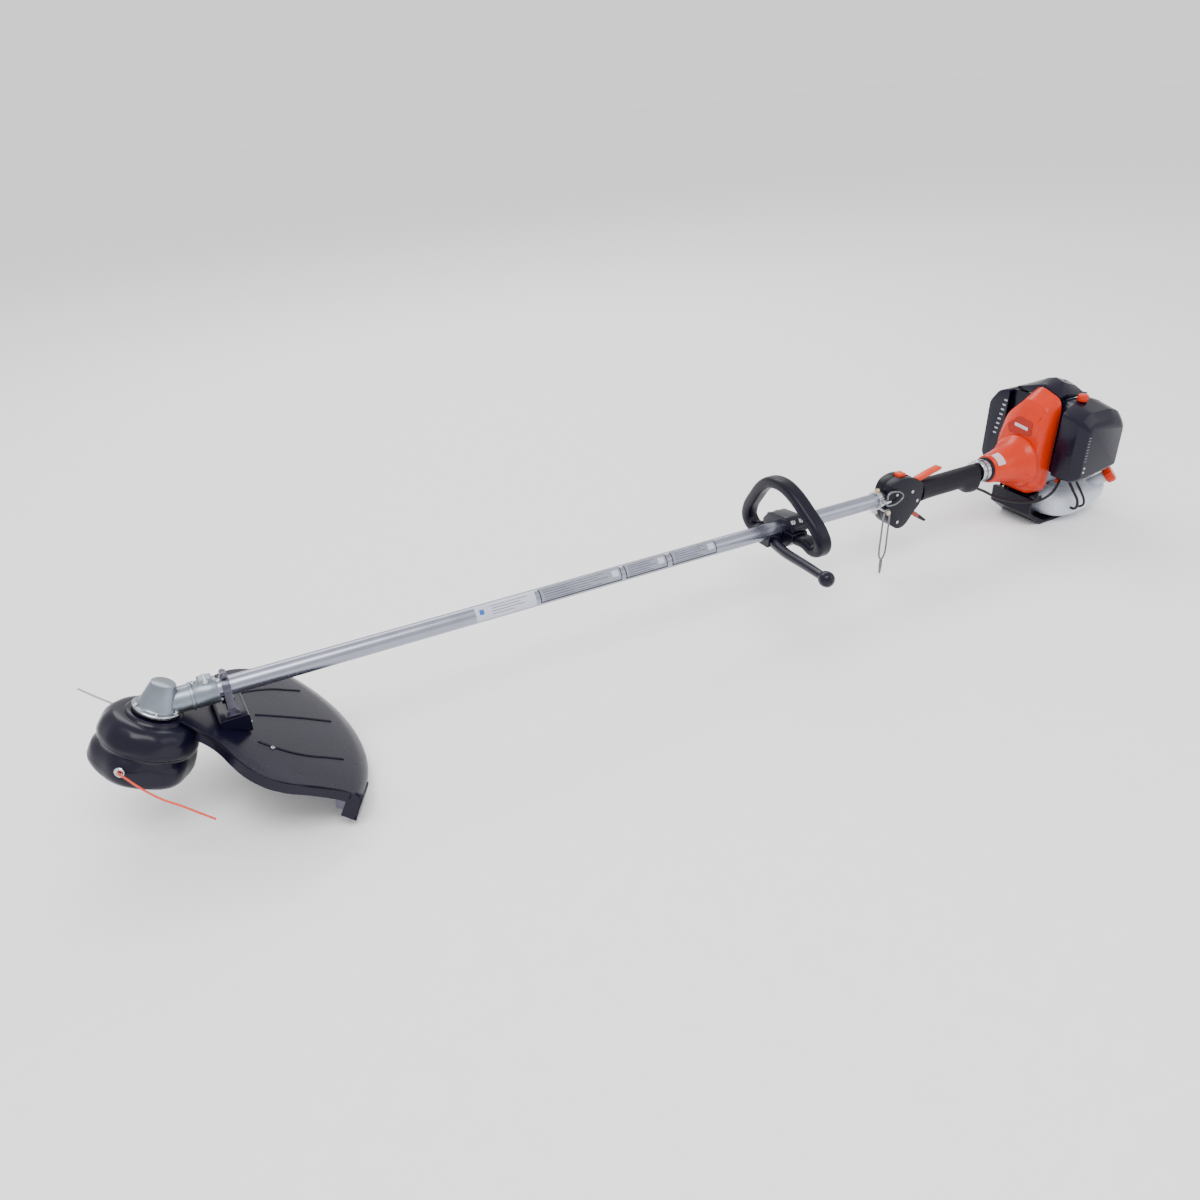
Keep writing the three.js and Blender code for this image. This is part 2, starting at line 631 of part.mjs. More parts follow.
// ---------------------------------------------------------------- engine
function coverSections(inset) {
  const shapes = [
    [1538.5, [[-26, -50], [-39, -38], [-41, 60], [-32, 88], [10, 92], [38, 62], [48, 20], [48, -36], [34, -50]]],
    [1550, [[-30, -60], [-45, -46], [-46, 84], [-37, 110], [7, 120], [46, 80], [58, 30], [58, -46], [42, -60]]],
    [COVER_BACK, [[-30, -64], [-46, -50], [-47, 100], [-42, 124], [7, 139], [50, 86], [61, 36], [61, -48], [42, -64]]],
  ];
  return shapes.map(([x, outline], i) => {
    const shift = inset && i === 0 ? inset : 0;
    const past = inset && i === 2 ? 2 : 0;
    const smooth = rounded(outline, 14);
    return smooth.map(([y, z]) => {
      const middle = [0, 30];
      const reach = Math.hypot(y - middle[0], z - middle[1]);
      const scale = (reach - inset) / reach;
      return [x + shift + past, y * scale, middle[1] + (z - middle[1]) * scale];
    });
  });
}

function engineCover() {
  return cut(loft(coverSections(0)), loft(coverSections(4)), rod(36, [1530, 0, 0], [1548, 0, 0], 28));
}

function flywheel() {
  const disc = turned([[6.3, 1554], [38, 1554], [38, 1562], [12, 1564], [12, 1572], [6.3, 1572], [6.3, 1554]],
    [0, 0, 0], [1, 0, 0], 30);
  const vanes = Array.from({ length: 12 }, (_, i) =>
    box([1561, 1572], [-1, 1], [22, 37]).rotateX((Math.PI * i) / 6));
  return join(disc, ...vanes);
}

function crankshaft() {
  return join(
    rod(6, [1525.5, 0, 0], [1702, 0, 0], 20),
    rod(21, [1601, 0, 0], [1609, 0, 0], 28),
    rod(21, [1621, 0, 0], [1629, 0, 0], 28),
    rod(6, [1605, 0, 13], [1625, 0, 13], 16),
    rod(13, [1694, 0, 0], [1702, 0, 0], 20),
  );
}

function crankcase() {
  const block = prism(rounded([[-34, -48], [34, -48], [34, 30], [-34, 30]], 8), "x", 1582, 1652);
  return cut(
    join(block, rod(36, [1650, 0, 0], [1683, 0, 0], 28)),
    rod(26, [1597, 0, 0], [1633, 0, 0], 24),
    rod(6.4, [1570, 0, 0], [1700, 0, 0], 16),
    rod(18, [1615, 0, 0], [1615, 0, 40], 24),
    rod(30, [1656, 0, 0], [1700, 0, 0], 24),
  );
}

function cylinder() {
  const fins = Array.from({ length: 7 }, (_, i) => box([1583, 1647], [-33, 33], [40 + 11 * i, 43 + 11 * i]));
  const barrel = rod(23, [1615, 0, 30.4], [1615, 0, 117], 20);
  const outlet = rod(9.5, [1615, 0, 62], [1615, 35, 62], 12);
  const inlet = rod(11, [1615, 0, INTAKE_HEIGHT], [1615, -43.7, INTAKE_HEIGHT], 16);
  return cut(join(barrel, ...fins, outlet, inlet), rod(17, [1615, 0, 25], [1615, 0, 104], 24));
}

const piston = () => cut(rod(16.6, [1615, 0, 64], [1615, 0, 94], 28), rod(13, [1615, 0, 60], [1615, 0, 86], 24));

const sparkPlug = () =>
  turned([[0, 117.4], [9, 117.4], [9, 124], [6, 125], [5, 134], [3, 135], [3, 139], [0, 139]], [1615, 0, 0],
    [0, 0, 1], 12);

function muffler() {
  const body = prism(rounded([[38, 36], [60, 36], [60, 106], [38, 106]], 5), "x", 1586, 1648);
  return cut(join(body, rod(9.5, [1615, 35.4, 62], [1615, 40, 62], 20)),
    box([1590, 1644], [41.5, 56.5], [40, 102]), rod(5, [1640, 50, 45], [1660, 50, 45], 12));
}

function mufflerGuard() {
  const outline = (inset) => rounded([[62.6, -36 + inset], [92, -36 + inset], [104 - inset, -20], [104 - inset, 84],
    [86, 110 - inset], [62.6, 118 - inset]], 7);
  const hollow = outline(3).map(([y, z]) => [y < 63 ? y - 3 : y, z]);
  const slots = Array.from({ length: 8 }, (_, i) => {
    const share = i / 7;
    const [y, z] = [82 - 13 * share, 26 + 68 * share];
    return box([1560, 1575], [y - 4.5, y + 4.5], [z - 2, z + 2]);
  });
  const shell = cut(prism(outline(0), "x", 1566, 1666), prism(hollow, "x", 1569, 1663), ...slots);
  const screen = prism([[24, 116], [34, 92], [46, 68], [55, 30], [55, -30], [66, -30], [66, 115]], "x", 1579, 1582);
  return join(shell, screen);
}

function topCover() {
  const section = (x, peak, shoulder) => [[-37, 119], [-37, shoulder], [-20, peak - 5], [0, peak], [16, peak - 5],
    [40, shoulder + 2], [58, 123], [58, 119]].map(([y, z]) => [x, y, z]);
  const outside = loft([section(1580, 141, 126), section(1606, 150, 130), section(1640, 139, 127),
    section(1654, 126, 123)]);
  return cut(outside, rod(13, [1615, 0, 110], [1615, 0, 143], 24), box([1586, 1648], [-33, 54], [110, 122.5]));
}

function carburettor() {
  const body = box([1594, 1644], [-78, -44], [0, 58]);
  const throat = rod(9, [1615, -80, INTAKE_HEIGHT], [1615, -40, INTAKE_HEIGHT], 20);
  return cut(body, throat, rod(9.4, [1632, -61, -2], [1632, -61, 6.5], 20));
}

const airFilter = () =>
  cut(box([1588, 1660], [-98, -81], [0, 86]), rod(9, [1615, -90, INTAKE_HEIGHT], [1615, -78, INTAKE_HEIGHT], 20));

// The air-cleaner cover is a deep shell that pulls off sideways. Its outer part reaches past the
// engine cover's edge.
function airCleanerCover() {
  const face = (front, inset, drop) => rounded([[front + inset, -15 + inset], [1588, -20 + inset],
    [1662, -9 + inset], [1682 - inset, 4], [1682 - inset, 94 - drop], [1664, 112 - drop - inset],
    [1640, 120 - drop - inset], [1590, 120 - drop - inset], [front + inset, 108 - drop]], 7);
  const section = (y, front, inset, drop) => face(front, inset, drop).map(([x, z]) => [x, y, z]);
  const outside = loft([section(-40, 1579.6, 0, 0), section(-59, 1579.6, 0, 0), section(-61, 1563, 0, 1),
    section(-98, 1563, 0, 8), section(-108, 1565, 5, 16), section(-113, 1565, 12, 22)]);
  const inside = loft([section(-38, 1579.6, 3, 0), section(-62, 1579.6, 3, 1), section(-64, 1563, 3, 2),
    section(-97, 1563, 3, 8), section(-106, 1565, 7, 17)]);
  return cut(outside, inside, box(COVER_SLOT, [-77, -30], [-30, -5]));
}

const coverKnob = () =>
  turned([[0, 0], [9, 0], [9.5, 3], [9.5, 9], [7, 12], [0, 12]], [1612, -60, 120.6], [0, 0, 1], 20);

const primerBulb = () =>
  turned([[0, -13], [5, -12], [8, -7], [8.8, -2], [8.8, 0.8], [0, 0.8]], [1632, -61, 0], [0, 0, 1], 20);

function chokeLever() {
  return join(rod(4, [1603, -56, -5.2], [1603, -49, -5.2], 14), box([1600.5, 1605.5], [-55, -50], [-34, -6]),
    box([1598, 1608], [-56, -49], [-40, -32]));
}

// ---------------------------------------------------------------- recoil starter
function starterHousing() {
  const profile = [[0, 1727], [0, 1704], [7.5, 1704], [7.5, 1723.5], [44, 1723.5], [STARTER_R - 3, 1714],
    [STARTER_R - 3, 1685], [STARTER_R, 1685], [STARTER_R, 1716], [46, 1727], [0, 1727]];
  const slots = Array.from({ length: 10 }, (_, i) =>
    box([1715, 1735], [-2.5, 2.5], [20, 38]).rotateX((Math.PI * i) / 5));
  return cut(turned(profile, [0, 0, 0], [1, 0, 0], 28), ...slots, rod(3, [1711, 24, 30], [1711, 24, 70], 12));
}

function starterPulley() {
  const profile = [[7.9, 1705], [26, 1705], [26, 1707], [22, 1708.5], [22, 1713], [26, 1714.5], [26, 1717],
    [7.9, 1717], [7.9, 1705]];
  return turned(profile, [0, 0, 0], [1, 0, 0], 28);
}

function starterHandle() {
  return join(rod(3.6, [1711, 24, 53], [1711, 24, 68], 12), rod(7.5, [1691, 24, 70], [1731, 24, 70], 16));
}

// ---------------------------------------------------------------- fuel
const NECK_BASE = [1716, -54, -61];
const NECK_AXIS = new THREE.Vector3(0.5, -0.6, 0.62).normalize();
const onNeck = (distance) => new THREE.Vector3(...NECK_BASE).addScaledVector(NECK_AXIS, distance).toArray();

function fuelTank() {
  const stations = [[1589, 40, -101, -68], [1600, 64, -112, -61], [1622, 73, -118, -59], [1660, 75, -117, -60],
    [1700, 74, -106, -60.5], [1728, 66, -93, -60.5], [1745, 42, -82, -64]];
  const sections = stations.map(([x, half, bottom, top]) => {
    const oval = squircle([0, (top + bottom) / 2], [half, (top - bottom) / 2], 28, 3.2);
    return oval.map(([y, z]) => [x, y, z]);
  });
  return cut(join(loft(sections), rod(11, onNeck(-14), onNeck(27), 20)), rod(8, onNeck(8), onNeck(30), 16));
}

function fuelCap() {
  const profile = [[0, 27.6], [11.4, 27.6], [11.4, 18], [15, 18], [16, 21], [16, 30], [13, 34], [0, 34]];
  return turned(profile, onNeck(0), NECK_AXIS.toArray(), 24);
}

const fuelLine = () =>
  wire([[1606, -70, -0.7], [1606, -70, -12], [1605, -73, -28], [1608, -84, -46], [1616, -91, -64], [1622, -90, -80],
    [1624, -83, -88], [1624, -76, -88.5]], 2.5, 24);

function tankStand() {
  const skid = [[1546, -66], [1546, -98], [1562, -110], [1592, -132], [1692, -132], [1716, -112], [1712, -108],
    [1688, -120.4], [1596, -120.4], [1566, -105], [1551, -95], [1551, -72], [1586, -72], [1586, -52.6],
    [1612, -52.6], [1612, -48.4], [1581, -48.4], [1581, -67.5], [1547, -67.5]];
  const arm = [-1, 1].map((side) => box([1556, 1620], side < 0 ? [-50, -29] : [29, 50], [-73, -40]));
  return cut(prism(skid, "y", -46, 46), ...arm, underFloor());
}

// ---------------------------------------------------------------- assembly
part("gear_case", "alloy", gearCase());
part("output_gear", "steel", bevelGear(GEAR_TEETH, GEAR_CONE, 15, 24, SPINDLE_R + GAP), head);
part("output_spindle", "steel", outputSpindle(), head);
part("spindle_bearing", "bright", spindleBearing(), head);
part("pinion_gear", "steel",
  bevelGear(PINION_TEETH, PINION_CONE, 15, 24, DRIVE_R + GAP).rotateY(Math.PI / 2));
part("head_housing", "black", headHousing(), head);
part("head_cover", "black", headCover(), head);
part("line_spool", "black", lineSpool(), head);
part("bump_knob", "black", bumpKnob(), head);
[0, 1].forEach((i) => {
  part(`eyelet_${i + 1}`, "bright", eyelet(EYELET_ANGLE + i * Math.PI), head);
  part(`cutting_line_${i + 1}`, "nylon", cuttingLine(i + 1), head);
});

part("shield", "black", shield());
part("shield_bracket", "bright", shieldBracket());
part("line_cutter", "steel", lineCutter(), head);

part("shaft_tube", "tube", sleeve(TUBE_R - TUBE_WALL, TUBE_R, TUBE_START, TUBE_END, 40));
part("drive_shaft", "steel", rod(DRIVE_R, [14, 0, 0], [DRIVE_END, 0, 0], 16));
BUSH_PLACES.forEach((x, i) => {
  part(`shaft_bush_${i + 1}`, "rubber", sleeve(DRIVE_R + GAP, TUBE_R - TUBE_WALL - GAP, x, x + BUSH_LENGTH, 24));
});

part("loop_handle", "black", loopHandle());
part("handle_clamp", "black", handleClamp());
part("barrier_bar", "black", barrierBar());
part("hanger_clamp", "bright", hangerClamp());
part("hanger_ring", "bright", hangerRing());
part("harness_clip", "bright", harnessClip());

part("throttle_housing_left", "black", throttleHousing(-HOUSING_HALF, -GAP / 2));
part("throttle_housing_right", "black", throttleHousing(GAP / 2, HOUSING_HALF));
part("throttle_trigger", "nylon", throttleTrigger());
part("lockout_lever", "orange", lockoutLever());
part("stop_switch", "orange", stopSwitch());
part("rear_grip", "rubber", rearGrip());
part("throttle_cable", "rubber", wire(CABLE_ROUTE, CABLE_R, 34));

part("clutch_collar", "alloy", clutchCollar());
part("clutch_case", "orange", clutchCase());
part("clutch_drum", "steel", clutchDrum());
part("clutch_rotor", "steel", clutchRotor());
part("engine_cover", "orange", engineCover());
part("flywheel", "alloy", flywheel());
part("crankshaft", "steel", crankshaft());
part("crankcase", "alloy", crankcase());
part("cylinder", "alloy", cylinder());
part("piston", "alloy", piston());
part("spark_plug", "steel", sparkPlug());
part("muffler", "steel", muffler());
part("muffler_guard", "black", mufflerGuard());
part("top_cover", "black", topCover());
part("carburettor", "alloy", carburettor());
part("air_filter", "foam", airFilter());
part("air_cleaner_cover", "black", airCleanerCover());
part("cover_knob", "orange", coverKnob());
part("primer_bulb", "tank", primerBulb());
part("choke_lever", "orange", chokeLever());

part("starter_housing", "black", starterHousing());
part("starter_pulley", "black", starterPulley());
part("starter_handle", "black", starterHandle());

part("fuel_tank", "tank", fuelTank());
part("fuel_cap", "orange", fuelCap());
part("fuel_line", "rubber", fuelLine());
part("tank_stand", "black", tankStand());

export default machine;
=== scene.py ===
import bmesh
import bpy
import json
import math
from mathutils import Matrix, Vector


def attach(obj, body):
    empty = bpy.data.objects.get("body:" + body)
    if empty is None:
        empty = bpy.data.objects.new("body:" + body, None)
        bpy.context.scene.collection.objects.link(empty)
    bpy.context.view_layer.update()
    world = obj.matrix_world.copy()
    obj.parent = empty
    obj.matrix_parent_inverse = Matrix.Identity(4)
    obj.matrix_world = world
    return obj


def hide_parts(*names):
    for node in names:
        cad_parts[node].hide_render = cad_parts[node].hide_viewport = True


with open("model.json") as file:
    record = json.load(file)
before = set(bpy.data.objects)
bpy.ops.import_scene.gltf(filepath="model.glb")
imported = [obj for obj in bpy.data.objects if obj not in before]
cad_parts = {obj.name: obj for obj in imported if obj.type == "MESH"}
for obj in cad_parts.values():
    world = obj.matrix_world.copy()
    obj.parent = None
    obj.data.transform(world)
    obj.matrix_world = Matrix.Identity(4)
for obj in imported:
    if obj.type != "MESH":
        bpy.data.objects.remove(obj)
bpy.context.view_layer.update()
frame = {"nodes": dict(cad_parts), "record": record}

# ------------------------------------------------------------------ frames
# The machine's own frame: millimetres, X along the shaft from the bevel gears to the engine, Z up.
# HEAD has the same origin, with Z along the trimmer head's axis.
JOINTS = {j["name"]: j for j in frame["record"]["behaviour"]["joints"]}
ORIGIN = Vector(JOINTS["head_spin"]["pos_m"])
ALONG = Vector(JOINTS["drive_spin"]["axis"])
ACROSS = Vector((0, 1, 0))
SPIN = Vector(JOINTS["head_spin"]["axis"])


def basis(x, z):
    turn = Matrix((x, ACROSS, z)).transposed().to_4x4()
    return Matrix.Translation(ORIGIN) @ turn @ Matrix.Scale(0.001, 4)


MACHINE = basis(ALONG, ALONG.cross(ACROSS))
HEAD = basis(ACROSS.cross(SPIN), SPIN)


# ------------------------------------------------------------------ camera
def machine_camera(place, view, up, lens):
    back = -(MACHINE.to_3x3() @ Vector(view)).normalized()
    side = (MACHINE.to_3x3() @ Vector(up)).cross(back).normalized()
    turn = Matrix((side, back.cross(side), back)).transposed().to_4x4()
    camera = bpy.data.objects.new("camera", bpy.data.cameras.new("camera"))
    camera.matrix_world = Matrix.Translation(MACHINE @ Vector(place)) @ turn
    camera.data.lens = lens
    camera.data.sensor_width = 36
    camera.data.clip_start = 0.01
    bpy.context.scene.collection.objects.link(camera)
    bpy.context.scene.camera = camera


machine_camera((2.7, -1178.3, 724.9), (0.412, 0.765, -0.494), (0.258, 0.422, 0.869), 30)


# ------------------------------------------------------------------ materials
def finish(name, color, rough, metal=0.0, grain=900, bump=0.08, vary=0.12, coat=0.0, clear=0.0,
           shine=0.5):
    """A procedural finish: colour and roughness wander a little, and fine grain raises the surface."""
    material = bpy.data.materials.new(name)
    material.use_nodes = True
    nodes, links = material.node_tree.nodes, material.node_tree.links
    shader = nodes["Principled BSDF"]
    shader.inputs["Metallic"].default_value = metal
    shader.inputs["Coat Weight"].default_value = coat
    shader.inputs["Specular IOR Level"].default_value = shine
    shader.inputs["Coat Roughness"].default_value = 0.08
    shader.inputs["Transmission Weight"].default_value = clear
    place = nodes.new("ShaderNodeTexCoord")
    broad = nodes.new("ShaderNodeTexNoise")
    broad.inputs["Scale"].default_value = 28
    broad.inputs["Detail"].default_value = 5
    fine = nodes.new("ShaderNodeTexNoise")
    fine.inputs["Scale"].default_value = grain
    fine.inputs["Detail"].default_value = 2
    tint = nodes.new("ShaderNodeValToRGB")
    tint.color_ramp.elements[0].position = 0.3
    tint.color_ramp.elements[1].position = 0.7
    tint.color_ramp.elements[0].color = [c * (1 - vary) for c in color] + [1]
    tint.color_ramp.elements[1].color = [min(1, c * (1 + vary)) for c in color] + [1]
    gloss = nodes.new("ShaderNodeMapRange")
    gloss.inputs["To Min"].default_value = max(0.02, rough - 0.06)
    gloss.inputs["To Max"].default_value = rough + 0.06
    relief = nodes.new("ShaderNodeBump")
    relief.inputs["Strength"].default_value = bump
    relief.inputs["Distance"].default_value = 0.0004
    links.new(place.outputs["Object"], broad.inputs["Vector"])
    links.new(place.outputs["Object"], fine.inputs["Vector"])
    links.new(broad.outputs["Fac"], tint.inputs["Fac"])
    links.new(tint.outputs["Color"], shader.inputs["Base Color"])
    links.new(broad.outputs["Fac"], gloss.inputs["Value"])
    links.new(gloss.outputs["Result"], shader.inputs["Roughness"])
    links.new(fine.outputs["Fac"], relief.inputs["Height"])
    links.new(relief.outputs["Normal"], shader.inputs["Normal"])
    return material


BLACK = finish("black_shell", (0.0030, 0.0024, 0.0120), 0.28, coat=0.10, shine=0.22)
SATIN = finish("black_satin", (0.0026, 0.0022, 0.0095), 0.36, grain=500, bump=0.14, shine=0.22)
RUBBER = finish("soft_grip", (0.0024, 0.0022, 0.0075), 0.46, grain=420, bump=0.30, shine=0.22)
HOSE = finish("hose", (0.0025, 0.0025, 0.0050), 0.36, shine=0.3)
ORANGE = finish("orange_shell", (0.56, 0.022, 0.0004), 0.28, coat=0.10, vary=0.05, shine=0.25)
# Darker copy of the orange shell: painted shade for the recessed front panel.
ORANGE_PAINTED_SHADE = finish("orange_painted_recess_shade", (0.34, 0.011, 0.0002), 0.34, vary=0.07, shine=0.25)
CORAL = finish("coral_lever", (0.64, 0.040, 0.008), 0.30, vary=0.06, shine=0.3)
RUST = finish("red_trigger", (0.30, 0.045, 0.025), 0.38, shine=0.3)
TUBE = finish("anodised_tube", (0.30, 0.31, 0.38), 0.28, 0.9, grain=1500, vary=0.05)
ALLOY = finish("cast_alloy", (0.22, 0.25, 0.29), 0.34, 0.9, grain=380, bump=0.3)
WIRE = finish("steel_wire", (0.16, 0.165, 0.18), 0.26, 0.95)
BRIGHT = finish("bright_plate", (0.50, 0.51, 0.54), 0.2, 1.0, vary=0.05)
# Dark steel; the same dark colour is also painted shade on the line cutter and in the collar groove.
DARK_STEEL_AND_SHADE = finish("dark_plate_and_painted_shade", (0.10, 0.10, 0.13), 0.3, 0.9)
STEEL = finish("machined_steel", (0.42, 0.43, 0.45), 0.3, 1.0)
BRASS = finish("brassy_plate", (0.50, 0.43, 0.26), 0.3, 1.0)
FOAM = finish("filter_foam", (0.03, 0.03, 0.035), 0.9, grain=300, bump=0.8)
RED_LINE = finish("red_nylon", (0.66, 0.050, 0.015), 0.35)
GREY_LINE = finish("grey_nylon", (0.36, 0.35, 0.36), 0.4)
MILKY = finish("milky_tank", (0.60, 0.64, 0.74), 0.26, clear=0.10, vary=0.06, grain=260)
PANEL = finish("grey_label", (0.24, 0.25, 0.31), 0.32, vary=0.15)
PAPER = finish("white_label", (0.50, 0.52, 0.62), 0.35, vary=0.04)
# Grey print on the labels; the same grey also paints the highlights on the air cleaner cover's ridges.
PRINT_AND_HIGHLIGHT = finish("grey_print_and_painted_highlight", (0.085, 0.09, 0.13), 0.4, vary=0.2)
INK = finish("dark_print", (0.012, 0.014, 0.022), 0.4, vary=0.2)
BLUE = finish("blue_print", (0.02, 0.10, 0.42), 0.4, vary=0.1)
PINK = finish("pink_print", (0.80, 0.42, 0.45), 0.4, vary=0.1)


# ------------------------------------------------------------------ shapes
def emit(name, verts, faces, material, body="frame", at=MACHINE, bevel=0.0, smooth=36, stands=()):
    """Makes one piece from points in a millimetre frame, and lets it ride on a body."""
    mesh = bpy.data.meshes.new(name)
    places = [at @ Vector(v) for v in verts]
    mesh.from_pydata([(x, y, max(z, 0.0002)) for x, y, z in places], [], faces)
    shape = bmesh.new()
    shape.from_mesh(mesh)
    bmesh.ops.remove_doubles(shape, verts=shape.verts, dist=1e-6)
    bmesh.ops.recalc_face_normals(shape, faces=shape.faces)
    shape.to_mesh(mesh)
    shape.free()
    mesh.shade_smooth()
    mesh.set_sharp_from_angle(angle=math.radians(smooth))
    mesh.materials.append(material)
    piece = bpy.data.objects.new(name, mesh)
    bpy.context.scene.collection.objects.link(piece)
    if bevel:
        soften(piece, bevel)
    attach(piece, body)
    if stands:
        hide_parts(*stands)
    return piece


def soften(piece, width, angle=32):
    edge = piece.modifiers.new("edge", "BEVEL")
    edge.width = width * 0.001
    edge.segments = 3
    edge.limit_method = "ANGLE"
    edge.angle_limit = math.radians(angle)
    edge.harden_normals = False
    return piece


def frame_of(axis):
    """Two directions square to an axis."""
    axis = Vector(axis).normalized()
    aside = Vector((0, 0, 1)) if abs(axis.z) < 0.9 else Vector((1, 0, 0))
    first = aside.cross(axis).normalized()
    return first, axis.cross(first), axis


def turned(profile, origin=(0, 0, 0), axis=(0, 0, 1), sides=96, wave=None):
    """A turned shell, from a profile of [radius, distance]. wave(turn, distance) is added to the radius."""
    first, second, axis = frame_of(axis)
    origin = Vector(origin)
    verts, faces = [], []
    for i in range(sides):
        turn = 2 * math.pi * i / sides
        out = first * math.cos(turn) + second * math.sin(turn)
        for radius, distance in profile:
            extra = wave(turn, distance) if wave else 0
            verts.append(origin + axis * distance + out * (radius + extra))
    count = len(profile)
    for i in range(sides):
        for k in range(count - 1):
            p, q = i * count + k, ((i + 1) % sides) * count + k
            faces.append((p, p + 1, q + 1, q))
    return verts, faces


def rod(radius, start, end, sides=40, tip=0.4):
    """A round bar with softened ends."""
    start, end = Vector(start), Vector(end)
    length = (end - start).length
    profile = [[0, 0], [radius - tip, 0], [radius, tip], [radius, length - tip], [radius - tip, length], [0, length]]
    return turned(profile, start, end - start, sides)


def screw_head(radius, height, start, axis, sides=48):
    """A round screw head with a hexagon socket."""
    start, axis = Vector(start), Vector(axis).normalized()
    rim = [[radius, 0], [radius, height * 0.8], [radius * 0.88, height], [radius * 0.52, height]]
    well = [[radius * 0.46, height * 0.94], [radius * 0.46, height * 0.4], [0, height * 0.4]]
    return turned(rim + well, start, axis, sides)


def hex_head(radius, height, start, axis):
    """A hexagon head on a round washer."""
    washer = turned([[0, 0], [radius * 1.35, 0], [radius * 1.35, height * 0.25], [radius, height * 0.3]],
                    start, axis, 48)
    top = turned([[radius, height * 0.3], [radius, height * 0.9], [radius * 0.85, height], [0, height]],
                 start, axis, 6)
    return merge(washer, top)


def merge(*shapes):
    verts, faces = [], []
    for some_verts, some_faces in shapes:
        base = len(verts)
        verts.extend(some_verts)
        faces.extend(tuple(base + i for i in face) for face in some_faces)
    return verts, faces


def box(x, y, z):
    verts = [(a, b, c) for a in x for b in y for c in z]
    faces = [(0, 1, 3, 2), (4, 6, 7, 5), (0, 4, 5, 1), (2, 3, 7, 6), (0, 2, 6, 4), (1, 5, 7, 3)]
    return verts, faces


def loft(sections, closed=False):
    """Skins closed sections that have the same number of points."""
    count = len(sections[0])
    verts = [p for section in sections for p in section]
    faces = []
    steps = len(sections) if closed else len(sections) - 1
    for s in range(steps):
        nxt = (s + 1) % len(sections)
        for i in range(count):
            j = (i + 1) % count
            faces.append((s * count + i, s * count + j, nxt * count + j, nxt * count + i))
    if not closed:
        faces.append(tuple(reversed(range(count))))
        faces.append(tuple((len(sections) - 1) * count + i for i in range(count)))
    return verts, faces


def prism(outline, axis, start, end):
    """Pushes a flat outline along one axis."""
    order = {"x": lambda u, v, w: (w, u, v), "y": lambda u, v, w: (u, w, v), "z": lambda u, v, w: (u, v, w)}[axis]
    return loft([[order(u, v, w) for u, v in outline] for w in (start, end)])


def rounded(outline, radius, steps=8):
    """An outline with its corners turned into short curves."""
    points = [Vector(p) for p in outline]
    smooth = []
    for i, corner in enumerate(points):
        before, after = points[i - 1], points[(i + 1) % len(points)]
        reach = min(radius, (before - corner).length / 2.2, (after - corner).length / 2.2)
        start = corner + (before - corner).normalized() * reach
        end = corner + (after - corner).normalized() * reach
        for k in range(steps + 1):
            t = k / steps
            smooth.append(tuple(start * (1 - t) ** 2 + corner * 2 * t * (1 - t) + end * t ** 2))
    return smooth


def squircle(centre, half, count=64, power=2.6):
    ring = []
    for i in range(count):
        turn = 2 * math.pi * i / count
        c, s = math.cos(turn), math.sin(turn)
        ring.append((centre[0] + half[0] * math.copysign(abs(c) ** (2 / power), c),
                     centre[1] + half[1] * math.copysign(abs(s) ** (2 / power), s)))
    return ring


def between(pairs, place):
    """A value read off a short list of (place, value), straight between them."""
    if place <= pairs[0][0]:
        return pairs[0][1]
    for (p0, v0), (p1, v1) in zip(pairs, pairs[1:]):
        if place <= p1:
            return v0 + (v1 - v0) * (place - p0) / (p1 - p0)
    return pairs[-1][1]


def curve_points(points, each=12, closed=False):
    """A smooth line through the points."""
    points = [Vector(p) for p in points]
    ends = [points[0] * 2 - points[1]] + points + [points[-1] * 2 - points[-2]]
    if closed:
        ends = [points[-1]] + points + points[:2]
    line = []
    for a, b, c, d in zip(ends, ends[1:], ends[2:], ends[3:]):
        gaps = [max(1e-6, (q - p).length) ** 0.5 for p, q in ((a, b), (b, c), (c, d))]
        enter = ((b - a) / gaps[0] - (c - a) / (gaps[0] + gaps[1]) + (c - b) / gaps[1]) * gaps[1]
        leave = ((c - b) / gaps[1] - (d - b) / (gaps[1] + gaps[2]) + (d - c) / gaps[2]) * gaps[1]
        for k in range(each):
            t = k / each
            line.append(b * (2 * t ** 3 - 3 * t ** 2 + 1) + enter * (t ** 3 - 2 * t ** 2 + t)
                        + c * (3 * t ** 2 - 2 * t ** 3) + leave * (t ** 3 - t ** 2))
    if not closed:
        line.append(points[-1])
    return line


def swept(line, ring, keep=(1, 0, 0), closed=False):
    """Carries a flat ring of (aside, across) along a line. keep is the direction that aside holds to."""
    keep = Vector(keep)
    sections = []
    for i, p in enumerate(line):
        before = line[i - 1] if i or closed else p
        after = line[(i + 1) % len(line)] if i + 1 < len(line) or closed else p
        run = (after - before).normalized()
        aside = (keep - run * keep.dot(run)).normalized()
        across = run.cross(aside)
        scale = ring(i / (len(line) - 1)) if callable(ring) else ring
        sections.append([p + aside * u + across * v for u, v in scale])
    return loft(sections, closed)


def circle(radius, sides=20):
    return [(radius * math.cos(2 * math.pi * i / sides), radius * math.sin(2 * math.pi * i / sides))
            for i in range(sides)]


def wire(points, radius, each=10, sides=16, keep=(0, 0, 1)):
    return swept(curve_points(points, each), circle(radius, sides), keep)


# ------------------------------------------------------------------ cords
EYELET = math.radians(-123)


def polar(angle, radius, height):
    return (radius * math.cos(angle), radius * math.sin(angle), height)


